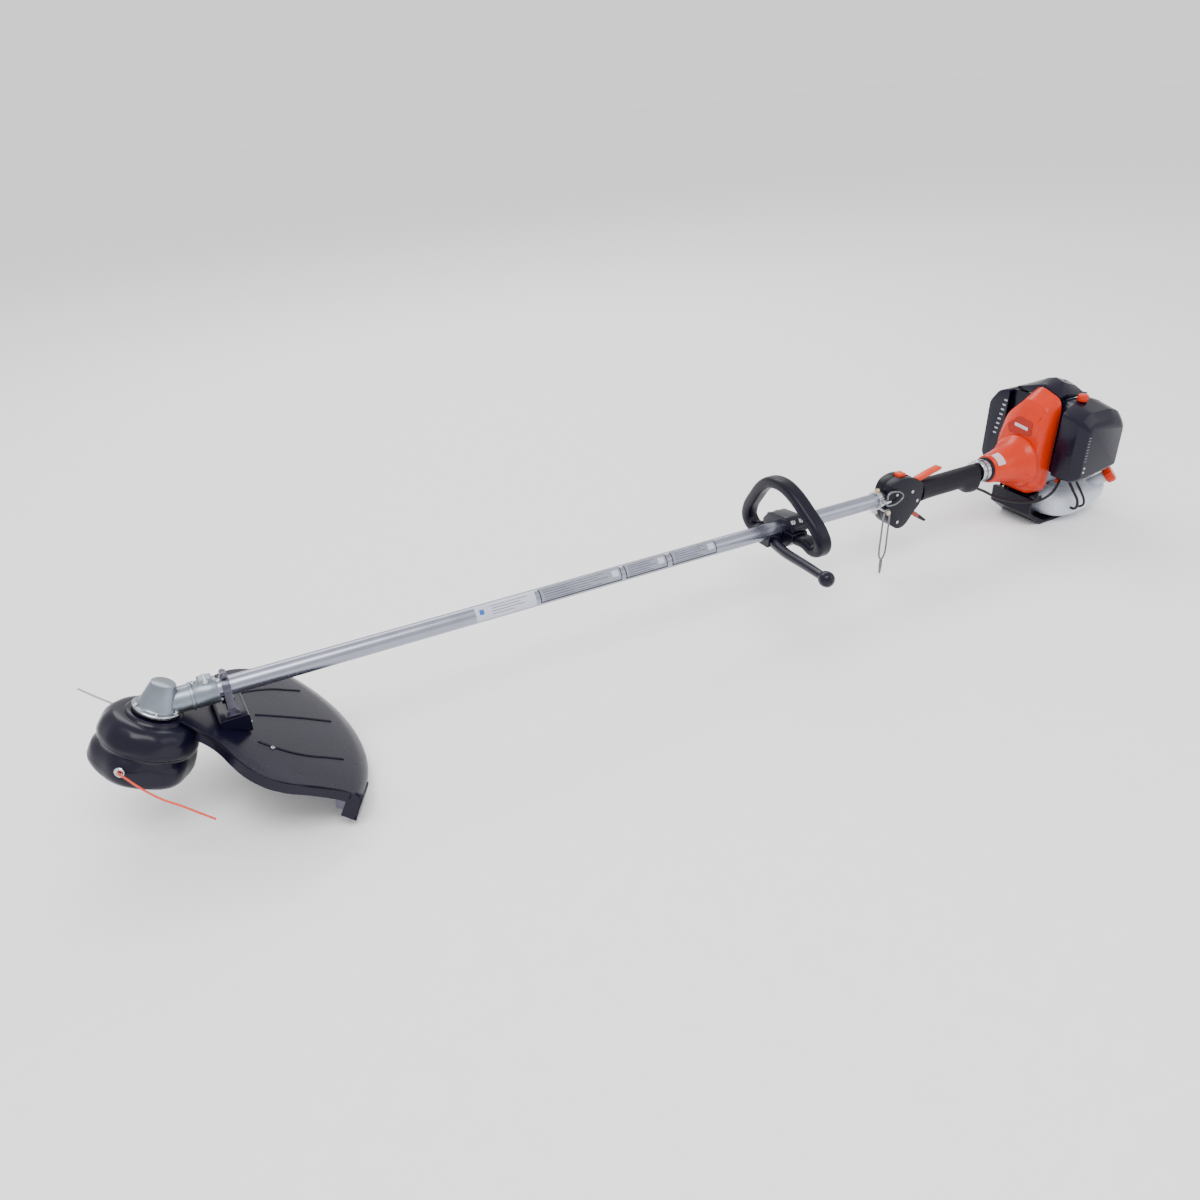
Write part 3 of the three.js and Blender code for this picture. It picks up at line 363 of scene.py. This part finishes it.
def cutting_line(name, side, ends, material):
    start = [polar(EYELET, r, -65) for r in (54, 60, 68)]
    bent = [(-29, -67, -66), (-12, -86, ends[0]), (9, -101, ends[1]), (31, -109, ends[2]),
            (51, -118, ends[3]), (70, -126, ends[4])]
    route = [HEAD @ Vector((side * x, side * y, z)) for x, y, z in start + bent]
    line = curve_points(route, 10)
    data = bpy.data.curves.new(name, "CURVE")
    data.dimensions = "3D"
    data.bevel_depth = 0.00135
    data.bevel_resolution = 5
    data.use_fill_caps = True
    spline = data.splines.new("POLY")
    spline.points.add(len(line) - 1)
    for point, place in zip(spline.points, line):
        point.co = (*place, 1)
    data.materials.append(material)
    cord = bpy.data.objects.new(name, data)
    bpy.context.scene.collection.objects.link(cord)
    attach(cord, "head")
    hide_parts(name[:-5])


cutting_line("cutting_line_1_cord", 1, (-68, -71, -74, -77, -80), RED_LINE)
cutting_line("cutting_line_2_cord", -1, (-66, -64, -61, -58, -54), GREY_LINE)


# ------------------------------------------------------------------ gear case and head
def patch(radius, x, turns, steps=24, lift=0.25):
    """A thin label wrapped round the shaft's axis. radius may follow x; turns are in degrees from +Y."""
    sections = []
    for i in range(steps + 1):
        turn = math.radians(turns[0] + (turns[1] - turns[0]) * i / steps)
        ring = [(x[0], radius[0] - 0.3), (x[1], radius[1] - 0.3), (x[1], radius[1] + lift), (x[0], radius[0] + lift)]
        sections.append([(place, r * math.cos(turn), r * math.sin(turn)) for place, r in ring])
    return loft(sections)


def slab(outline, axis, start, end, radius=1.0):
    return prism(rounded(outline, radius, 5), axis, start, end)


cone = [[0, -4], [28.4, -4], [29, -3.2], [29, 0], [28.4, 0.8], [25.6, 1], [24.2, 2], [23, 4.4], [15.7, 31.8],
        [15.2, 33.2], [14, 34], [0, 34]]
emit("gear_case_cone", *turned(cone, sides=128), ALLOY, at=HEAD, stands=["gear_case"])
flange_bolts = [hex_head(2.2, 3, polar(math.radians(a), 26.4, 0.9), (0, 0, 1)) for a in (20, 100, 190, 260, 320)]
emit("gear_case_bolts", *merge(*flange_bolts), BRIGHT, at=HEAD)
flange_rim = [[24.6, -3.9], [29.4, -3.9], [29.6, -3], [29.6, -0.6], [29, 0.2], [24.6, 0.2], [24.6, -3.9]]
emit("gear_case_ring", *turned(flange_rim), BRIGHT, at=HEAD)
neck = [[0, 4], [15.6, 4], [16.4, 6], [17.1, 40], [17.1, 45], [18, 46.4], [18, 72.6], [17.4, 74], [13.3, 74],
        [13.3, 44], [0, 44]]
lug = slab([(52, 10), (70, 10), (70, 22.5), (52, 22.5)], "y", -7, 7, 3)
emit("gear_case_neck", *turned(neck, (0, 0, 0), (1, 0, 0), 96), ALLOY)
emit("gear_case_lug", *lug, ALLOY, bevel=0.8)
pinch_bolt = rod(3.4, (61, -9, 19.5), (61, 9, 19.5))
locating_screw = screw_head(3.2, 3.4, (46, 0, 17.4), (0, 0, 1))
emit("gear_case_screw", *merge(pinch_bolt, locating_screw), BRIGHT)
neck_band = [[17.2, 40], [18.6, 40.4], [18.6, 43.6], [17.2, 44], [17.2, 40]]
emit("gear_case_band", *turned(neck_band, (0, 0, 0), (1, 0, 0)), ALLOY)

LOBE = [(-89, 0.5), (-84, 1.6), (-76, 2.6), (-57, 2.0), (-50, 0.3), (-45, 0)]


def head_lobe(turn, height):
    return between(LOBE, height) * math.cos(6 * (turn - math.pi / 2 - EYELET))


def dome_rib(turn, height):
    return 0.5 * math.cos(12 * turn) if -42 < height < -17 else 0


dome = [[5.6, -11], [30, -11], [40, -11.2], [45, -11.8], [49.6, -13.6], [54, -18], [57.4, -23], [59.6, -29],
        [61, -36], [61.5, -42.4], [60.6, -44.3], [57.5, -44.5], [57.5, -36], [54, -24], [46, -16.5], [5.6, -15.5],
        [5.6, -11]]
emit("head_dome", *turned(dome, sides=192, wave=dome_rib), BLACK, "head", HEAD, stands=["head_housing"])
head_step = [[26, -11.2], [26, -8.2], [27, -7.4], [33, -7.4], [35, -8.4], [37, -11.2], [26, -11.2]]
emit("head_collar", *turned(head_step), BLACK, "head", HEAD)
bowl = [[56, -45], [59.4, -45], [60, -45.6], [59.6, -48], [58.6, -50], [59.4, -53], [61.4, -57], [62.3, -66],
        [62.5, -76], [61.4, -82], [58.6, -86.4], [53, -89], [40, -89.6], [27, -89.6], [26.4, -89], [26.4, -84],
        [56, -83], [56, -45]]
emit("head_bowl", *turned(bowl, sides=240, wave=head_lobe), BLACK, "head", HEAD, stands=["head_cover"])


def button_grip(turn, height):
    return 0.4 * math.cos(8 * turn) if -98 < height < -80 else 0


button = [[0, -78], [22, -78], [24.4, -84], [24.4, -93], [23, -97], [19, -99.6], [10, -101], [0, -101.2]]
emit("bump_button", *turned(button, sides=128, wave=button_grip), SATIN, "spool", HEAD, stands=["bump_knob"])
outlet = [[1.7, 0], [4.6, 0], [4.6, 7.2], [6.0, 7.3], [6.6, 8], [6.5, 9], [5.6, 9.8],
          [3.8, 9.9], [2.4, 9.2], [1.7, 8], [1.7, 0]]
for i in (0, 1):
    angle = EYELET + i * math.pi
    shape = turned(outlet, polar(angle, 57.5, -65), (math.cos(angle), math.sin(angle), 0), 48)
    emit(f"line_outlet_{i + 1}", *shape, BRIGHT, "head", HEAD, stands=[f"eyelet_{i + 1}"])

# ------------------------------------------------------------------ shield
NEAR_EDGE = [(33, 42), (80, 42), (100, 45), (120, 49), (145, 51.5), (175, 50.5), (200, 46.5), (220, 41.5), (240, 38),
             (255, 36), (280, 34)]
FAR_EDGE = [(33, 42), (80, 42), (100, 45), (120, 49), (145, 51.5), (175, 51), (200, 49), (220, 46), (240, 43.5),
            (255, 42), (280, 38)]
SHIELD_TOP = [(33, -6), (60, -6.6), (85, -7.5), (120, -8.8), (145, -9.8), (175, -11), (200, -12), (220, -13),
              (245, -14.6), (265, -17), (276, -21)]


def smooth_list(pairs):
    return [(p.x, p.y) for p in curve_points([(a, b, 0) for a, b in pairs], 6)]


EDGES = {-1: smooth_list(NEAR_EDGE), 1: smooth_list(FAR_EDGE)}
TOP = smooth_list(SHIELD_TOP)


def shield_angle(share, radius):
    return math.radians(share * between(EDGES[-1 if share < 0 else 1], radius))


def shield_point(share, radius, raised=0.0):
    return polar(shield_angle(share, radius), radius, between(TOP, radius) + raised)


def shield_skin():
    radii = [33 + 243 * i / 48 for i in range(49)]
    outside = [(r, between(TOP, r)) for r in radii] + [(278.6, -24), (280, -28), (281, -50)]
    inside = [(278, -50), (277, -29)] + [(r, between(TOP, r) - 3) for r in reversed(radii[:-2])]
    return loft([[polar(shield_angle(-1 + i / 48, r), r, h) for r, h in outside + inside] for i in range(97)])


def shield_lip(share):
    sections = []
    for i in range(45):
        r = 60 + 205 * i / 44
        top, side = between(TOP, r) - 1, math.copysign(1, share)
        turn = shield_angle(share, r) + side * 0.6 / r
        inner = turn - side * 3 / r
        low = top - 14
        sections.append([polar(turn, r, top), polar(turn, r, low), polar(inner, r, low), polar(inner, r, top)])
    return loft(sections)


def skirt_end():
    start = math.radians(-34)
    sections = []
    for i in range(21):
        turn = start + math.radians(0.5 * i)
        sections.append([polar(turn, 276, -24), polar(turn, 281, -24), polar(turn, 283, -56), polar(turn, 279, -56)])
    verts, faces = box((262, 282), (0, 4), (-56, -18))
    c, d = math.cos(start), math.sin(start)
    return loft(sections), ([(x * c - y * d, x * d + y * c, z) for x, y, z in verts], faces)


emit("shield_skin", *merge(shield_skin(), shield_lip(-1), shield_lip(1), *skirt_end()), BLACK, at=HEAD, bevel=0.5,
     stands=["shield"])
emit("shield_saddle", *slab([(64, -40), (102, -58), (102, -31), (64, -31)], "y", -32, 32, 4), BLACK, bevel=1.5)
for share in (-0.5, 0.12, 0.6):
    line = [shield_point(share, 130 + 4.0 * i, -0.2) for i in range(29)]
    rib = swept([Vector(p) for p in line], [(-2, -1), (2, -1), (1.2, 0.9), (-1.2, 0.9)], (0, 0, 1))
    emit(f"shield_rib_{share}", *rib, BLACK, at=HEAD, bevel=0.3)
shield_screws = [screw_head(3.0, 1.8, shield_point(share, r, 0.0), (0, 0, 1))
                 for share, r in ((-0.06, 118), (-0.52, 150))]
emit("shield_screws", *merge(*shield_screws), STEEL, at=HEAD)

# ------------------------------------------------------------------ shaft and its labels
emit("shaft_sleeve", *turned([[11.5, 44], [13, 44], [13, 1452], [11.5, 1452], [11.5, 44]], (0, 0, 0), (1, 0, 0), 160),
     TUBE, stands=["shaft_tube"])


def label(name, x, turns, material, lift=0.25):
    emit(name, *patch((13, 13), x, turns, 36, lift), material)


label("label_white", (430, 525), (92, 205), PAPER)
label("label_white_mark", (436, 443), (128, 160), BLUE, 0.35)
for k, (first, last) in enumerate([(455, 512), (455, 500), (455, 506), (455, 490)]):
    label(f"label_white_line_{k}", (first, last), (118 + 18 * k, 122 + 18 * k), PRINT_AND_HIGHLIGHT, 0.35)
for n, (start, end) in enumerate([(532, 670), (677, 752), (761, 845)]):
    label(f"panel_{n}", (start, end), (96, 200), PANEL)
    label(f"panel_{n}_top", (start, end), (96, 100), INK, 0.35)
    label(f"panel_{n}_low", (start, end), (188, 200), INK, 0.35)
    label(f"panel_{n}_sign", (end - 16, end - 5), (118, 160), PAPER, 0.45)
    label(f"panel_{n}_end_1", (start, start + 1.6), (96, 200), INK, 0.35)
    label(f"panel_{n}_end_2", (end - 1.6, end), (96, 200), INK, 0.35)
    for k in range(5):
        reach = (end - start - 24) * (0.92, 0.8, 0.95, 0.7, 0.85)[k]
        label(f"panel_{n}_line_{k}", (start + 6, start + 6 + reach), (112 + 16 * k, 117 + 16 * k), PRINT_AND_HIGHLIGHT, 0.35)

# ------------------------------------------------------------------ loop handle and side bar
LOOP_ROLL, LOOP_LEAN = math.radians(-7.4), math.radians(-8)


def loop_point(across, up):
    return Vector((990 + up * math.sin(LOOP_LEAN), across * math.cos(LOOP_ROLL) - up * math.sin(LOOP_ROLL),
                   across * math.sin(LOOP_ROLL) + up * math.cos(LOOP_ROLL)))


def rolled(verts, faces):
    c, d = math.cos(LOOP_ROLL), math.sin(LOOP_ROLL)
    return [(x, y * c - z * d, y * d + z * c) for x, y, z in verts], faces


half = [(36, -12), (56, -13), (74, -21), (89, -18), (97, -4), (89, 17), (66, 42), (42, 64), (20, 76)]
route = [loop_point(a, u) for a, u in half] + [loop_point(0, 79)] + [loop_point(-a, u) for a, u in reversed(half)]
band = rounded([(-13, -9.5), (13, -9.5), (13, 9.5), (-13, 9.5)], 8, 8)
emit("loop_bar", *swept(curve_points(route, 10), band, (1, 0, 0)), SATIN, stands=["loop_handle"])
foot = [(-40, -0.4), (40, -0.4), (38, -14), (20, -28), (-20, -28), (-38, -14)]
emit("loop_base", *rolled(*slab(foot, "x", 975, 1007, 6)), SATIN, bevel=1.2)
clamp_screws = [rolled(*screw_head(4.2, 4.6, (x, y, 14.6), (0, 0, 1))) for x in (983, 999) for y in (-31, 31)]
emit("clamp_screws", *merge(*clamp_screws), BRIGHT)
arm = curve_points([(960, -6, -14), (954, -28, -14), (947, -60, -12), (939, -120, -6), (931, -176, -1)], 14)
emit("side_bar", *swept(arm, lambda t: circle(9.4 - 2.4 * t, 40), (0, 0, 1)), BLACK, stands=["barrier_bar"])
emit("side_bar_saddle", *slab([(-17, -0.4), (17, -0.4), (15, -23), (-15, -23)], "x", 946, 973, 5), BLACK, bevel=1.2)
end_cap = [[0, 0], [6, 0], [8.4, 0.8], [11, 4], [12.4, 9], [12.4, 13], [11.2, 17.4], [8, 21.4], [3, 23], [1.6, 22],
           [0, 22]]
emit("side_bar_end", *turned(end_cap, (932, -166, -2), (-7, -55, 5)), BLACK)

# ------------------------------------------------------------------ harness point
post = (1195, -23.5)
eye = [(1228, 3), (1216, -3), (1202, -3.5), (1195, -1.5), (1195, 3), (1195, 10), (1195, 17), (1202, 21), (1218, 19),
       (1229, 12), (1230.5, 6)]
eye_line = curve_points([(x, post[1], z) for x, z in eye], 10, True)
emit("eye_wire", *swept(eye_line, circle(1.8), (0, 1, 0), True), WIRE, "ring", stands=["hanger_ring"])
clip = [(-2.5, 4), (1.5, 4.2), (4.6, 1.5), (6.6, -8), (7.2, -43), (6.6, -81), (3, -89), (0, -92)]
legs = [wire([(1192 + side * x, -28.4, -12 + z) for x, z in clip], 1.6, keep=(0, 1, 0)) for side in (1, -1)]
weight = turned([[0, 0], [1.8, 0], [2.8, 3], [2.8, 16], [1.6, 28], [0, 28]], (1192, -28.4, -103), (0, 0, -1), 32)
emit("clip_wire", *merge(*legs, weight), WIRE, "clip", stands=["harness_clip"])
emit("harness_nut", *hex_head(4.2, 6, (1192.5, 0, 15), (0, 0, 1)), BRASS)
emit("harness_pin", *screw_head(4.4, 2.2, (1192, -31, -12), (0, -1, 0)), BRASS)

# ------------------------------------------------------------------ throttle unit
stations = [(1289, 17.5, 16, -23.5), (1296, 17.2, 16, -23.2), (1308, 16.6, 15.6, -22.5), (1360, 16.6, 15.2, -22),
            (1390, 17, 15.4, -23), (1400, 17.4, 15.5, -29), (1408, 17.6, 15.6, -34), (1424, 17.6, 15.8, -36),
            (1430, 17.2, 15.6, -35), (1432.5, 15.8, 14.4, -33)]
rows = curve_points([(x, half, top) for x, half, top, low in stations], 8)
lows = curve_points([(x, low, 0) for x, half, top, low in stations], 8)
oval = [[(a.x, y, z) for y, z in squircle((0, (a.z + b.y) / 2), (a.y, (a.z - b.y) / 2), 72, 2.4)]
        for a, b in zip(rows, lows)]
emit("grip_sleeve", *loft(oval), RUBBER, stands=["rear_grip"])
cable = [(1274, 0, -17.6), (1300, 0, -17.6), (1345, 0, -17.6), (1388, 0, -17.8), (1411, 0, -24), (1432, 0, -30),
         (1460, -3, -43), (1490, -12, -60), (1520, -34, -68), (1550, -56, -65), (1574, -65, -51), (1590, -64, -32),
         (1596, -62, -14), (1598, -61, -0.7)]
emit("cable_hose", *wire(cable, 2.5, 10, 24), HOSE, stands=["throttle_cable"])
housing_screws = [screw_head(2.9, 1.2, (x, -18, z), (0, -1, 0))
                  for x, z in ((1222, 10), (1258, 8), (1230, -44), (1272, -12))]
emit("housing_screws", *merge(*housing_screws), BRIGHT)
tip = [(1296, -50), (1308, -59.6), (1315, -65), (1311.6, -68), (1294, -57.6)]
emit("trigger_tip", *slab(tip, "y", -6.3, 6.3, 1.2), SATIN, "trigger", bevel=0.6)

# ------------------------------------------------------------------ engine end
collar = [[13.4, 1434], [20, 1434], [21, 1435], [21, 1456], [20, 1457], [13.4, 1457], [13.4, 1434]]
emit("collar_band", *turned(collar, (0, 0, 0), (1, 0, 0), 128), BRIGHT, stands=["clutch_collar"])
# A thin dark ring laid on the collar band: painted shade standing for the groove.
emit("collar_groove_shade", *turned([[20.8, 1441], [21.3, 1441.3], [21.3, 1443.7], [20.8, 1444], [20.8, 1441]], (0, 0, 0),
                              (1, 0, 0), 128), DARK_STEEL_AND_SHADE)
emit("collar_lug", *slab([(1438, 14), (1453, 14), (1453, 27), (1438, 27)], "z", -7, 7, 3), BRIGHT, bevel=0.8)
emit("collar_rubber", *turned([[18, 1453], [22.4, 1453], [22.8, 1454], [22.8, 1458.4], [18, 1458.4], [18, 1453]],
                              (0, 0, 0), (1, 0, 0), 128), SATIN)
bell = [[10, 1458.6], [22.4, 1458.6], [24.4, 1459.4], [26, 1461.5], [27.5, 1472], [29.5, 1484], [34.6, 1503],
        [41, 1522], [44.4, 1528], [48.4, 1532], [50, 1535], [50, 1538], [41, 1538], [36.8, 1518], [25, 1499],
        [19, 1488], [19, 1463], [10, 1463], [10, 1458.6]]
emit("clutch_bell", *turned(bell, (0, 0, 0), (1, 0, 0), 160), ORANGE, stands=["clutch_case"])
emit("bell_label", *patch((26.7, 29.0), (1465, 1481), (95, 150)), PAPER)
emit("bell_label_bar", *patch((27.1, 28.6), (1468, 1478), (100, 112), 12, 0.4), PINK)
emit("bell_label_bar_2", *patch((27.1, 28.6), (1468, 1478), (118, 144), 12, 0.4), PINK)
FRONT = [(-24, 54), (27, 50), (33, 64), (10, 86), (-22, 82)]
# The front panel's darker orange is painted shade for its recess.
emit("front_panel", *slab(FRONT, "x", 1537.7, 1539.5, 5), ORANGE_PAINTED_SHADE, bevel=0.5)
emit("front_badge", *slab([(-14, 63), (16, 66), (16, 72), (-14, 69)], "x", 1537.1, 1539, 1.5), PAPER, bevel=0.3)
emit("front_badge_bar", *slab([(-10, 65.4), (12, 67.6), (12, 69.6), (-10, 67.4)], "x", 1536.8, 1538, 0.5), PINK)
for i in range(8):
    share = i / 7
    y, z = 82 - 13 * share, 26 + 68 * share
    emit(f"guard_gap_{i}", *box((1567.2, 1568.6), (y - 4.3, y + 4.3), (z - 1.8, z + 1.8)), PAPER)
# Small ridges on the air cleaner cover, coloured grey as painted highlights.
for i in range(9):
    dash = box((1579, 1585), (-113.3, -112), (70 - 5.6 * i, 72 - 5.6 * i))
    emit(f"cover_highlight_dash_{i}", *dash, PRINT_AND_HIGHLIGHT, "cleaner_cover", bevel=0.3)
cover_heads = [screw_head(2.0, 1.0, (1583, -113, z), (0, -1, 0)) for z in (13, 5)]
emit("cover_screws", *merge(*cover_heads), PAPER, "cleaner_cover")
for i in range(9):
    y = -42 + 10.2 * i
    fin = [(1557, -71.6), (1580, -71.6), (1580, -66), (1561, -65)]
    emit(f"stand_fin_{i}", *slab(fin, "y", y, y + 2.4, 1.5), SATIN)


def knob_grip(turn, height):
    return 0.35 * math.cos(16 * turn) if 1 < height < 10 else 0


knob = [[0, 0], [8.8, 0], [9.3, 1.4], [9.4, 8.6], [8.6, 10.8], [6.6, 12], [0, 12]]
emit("knob_cap", *turned(knob, (1612, -60, 120.6), (0, 0, 1), 128, knob_grip), ORANGE, "knob",
     stands=["cover_knob"])

# ------------------------------------------------------------------ fuel
tank_rows = [(1589, 40, -101, -68), (1594, 54, -107, -64), (1600, 64, -112, -61), (1622, 73, -118, -59),
             (1660, 75, -117, -60), (1700, 74, -106, -60.5), (1728, 66, -93, -60.5), (1740, 54, -86, -62),
             (1745, 42, -82, -64)]
outer_row = curve_points([(x, half, low) for x, half, low, top in tank_rows], 8)
upper_row = curve_points([(x, top, 0) for x, half, low, top in tank_rows], 8)
tank = [[(a.x, y, z) for y, z in squircle((0, (a.z + b.y) / 2), (a.y, (b.y - a.z) / 2), 96, 3.2)]
        for a, b in zip(outer_row, upper_row)]
emit("tank_shell", *loft(tank), MILKY, stands=["fuel_tank"])
NECK = Vector(JOINTS["cap_turn"]["pos_m"])
neck_at = MACHINE.inverted() @ NECK
neck_axis = Vector((0.5, -0.6, 0.62)).normalized()
neck_shell = [[0, -14], [11, -14], [11, 26.4], [10.4, 27], [8, 27], [8, 9], [0, 9]]
emit("tank_neck", *turned(neck_shell, neck_at, neck_axis), MILKY)


def cap_grip(turn, height):
    return 0.45 * math.cos(14 * turn) if 20 < height < 31 else 0


cap = [[0, 27.6], [11.4, 27.6], [11.4, 18], [14.6, 18], [15.4, 19], [15.8, 21], [15.8, 29.6], [15, 32],
       [13, 33.8], [0, 34]]
emit("cap_shell", *turned(cap, neck_at, neck_axis, 168, cap_grip), ORANGE, "cap", stands=["fuel_cap"])
hose = [(1606, -70, -0.7), (1606, -70, -12), (1605, -73, -28), (1608, -84, -46), (1616, -91, -64), (1622, -90, -80),
        (1624, -83, -88), (1624, -76, -88.5)]
emit("fuel_hose", *wire(hose, 2.5, 10, 24, (0, 1, 0)), HOSE, stands=["fuel_line"])
second = [(1620, -70, -0.7), (1620, -71, -12), (1621, -76, -30), (1625, -87, -48), (1634, -92, -66), (1640, -90, -80),
          (1641, -83, -87), (1641, -76, -88.5)]
emit("return_hose", *wire(second, 2.2, 10, 24, (0, 1, 0)), HOSE)


# ------------------------------------------------------------------ pieces that keep the CAD's own shape
CAD_FINISH = {
    "output_gear": STEEL, "output_spindle": STEEL, "spindle_bearing": BRIGHT, "pinion_gear": STEEL,
    # The line cutter is a steel blade; its dark colour is painted shade.
    "line_spool": SATIN, "line_cutter": DARK_STEEL_AND_SHADE, "drive_shaft": STEEL, "shaft_bush_1": RUBBER,
    "shaft_bush_2": RUBBER, "clutch_drum": STEEL, "clutch_rotor": STEEL, "flywheel": ALLOY,
    "crankshaft": STEEL, "crankcase": ALLOY, "cylinder": ALLOY, "piston": ALLOY, "spark_plug": BRIGHT,
    "muffler": STEEL, "carburettor": ALLOY, "air_filter": FOAM, "starter_pulley": SATIN,
    "shield_bracket": DARK_STEEL_AND_SHADE, "handle_clamp": BLACK, "hanger_clamp": BRIGHT, "throttle_housing_left": SATIN,
    "throttle_housing_right": SATIN, "throttle_trigger": RUST, "lockout_lever": CORAL,
    "stop_switch": CORAL, "engine_cover": ORANGE, "muffler_guard": BLACK, "top_cover": BLACK,
    "air_cleaner_cover": BLACK, "primer_bulb": MILKY, "choke_lever": CORAL,
    "starter_housing": BLACK, "starter_handle": SATIN, "tank_stand": SATIN,
}
BEVELS = {"muffler_guard": 1.2, "air_cleaner_cover": 0.8, "engine_cover": 0.8, "top_cover": 1.5,
          "starter_housing": 0.8, "tank_stand": 1.2, "throttle_housing_left": 0.8,
          "throttle_housing_right": 0.8, "handle_clamp": 1.0,
          "starter_handle": 1.0, "lockout_lever": 1.0, "stop_switch": 0.8, "throttle_trigger": 0.8}


def dress(node, material, bevel):
    """Gives a CAD piece its finish, smooth round faces and softened edges."""
    piece = frame["nodes"][node]
    piece.data.materials.clear()
    piece.data.materials.append(material)
    weld = piece.modifiers.new("weld", "WELD")
    weld.merge_threshold = 0.00002
    flat = piece.modifiers.new("flat", "DECIMATE")
    flat.decimate_type = "DISSOLVE"
    flat.angle_limit = math.radians(1.5)
    soften(piece, bevel)
    piece.data.shade_smooth()
    piece.data.set_sharp_from_angle(angle=math.radians(32))


for node, material in CAD_FINISH.items():
    dress(node, material, BEVELS.get(node, 0.3))


# ------------------------------------------------------------------ stage
def backdrop():
    reach = 9
    floor = bpy.data.meshes.new("floor")
    floor.from_pydata([(-reach, -reach, 0), (reach, -reach, 0), (reach, reach, 0), (-reach, reach, 0)], [],
                      [(0, 1, 2, 3)])
    floor.materials.append(finish("pale_floor", (0.97, 0.97, 0.98), 0.8, vary=0.01, bump=0.0))
    plane = bpy.data.objects.new("floor", floor)
    bpy.context.scene.collection.objects.link(plane)


def soft_light(name, place, target, size, power, color=(1, 1, 1)):
    data = bpy.data.lights.new(name, "AREA")
    data.shape = "RECTANGLE"
    data.size, data.size_y = size
    data.energy = power
    data.color = color
    lamp = bpy.data.objects.new(name, data)
    lamp.location = place
    lamp.rotation_euler = (Vector(target) - Vector(place)).to_track_quat("-Z", "Y").to_euler()
    bpy.context.scene.collection.objects.link(lamp)


backdrop()
soft_light("key", (-1.6, -1.2, 2.6), (-0.8, 0, 0.1), (2.2, 1.2), 60)
soft_light("fill", (1.6, -2.2, 1.8), (-0.4, 0, 0.1), (1.8, 1.8), 16)
soft_light("rim", (-0.4, 2.2, 2.2), (-0.6, 0, 0.1), (3.0, 1.0), 45)

world = bpy.data.worlds.new("studio")
world.use_nodes = True
world.node_tree.nodes["Background"].inputs["Color"].default_value = (1, 1, 1, 1)
world.node_tree.nodes["Background"].inputs["Strength"].default_value = 1.2
bpy.context.scene.world = world
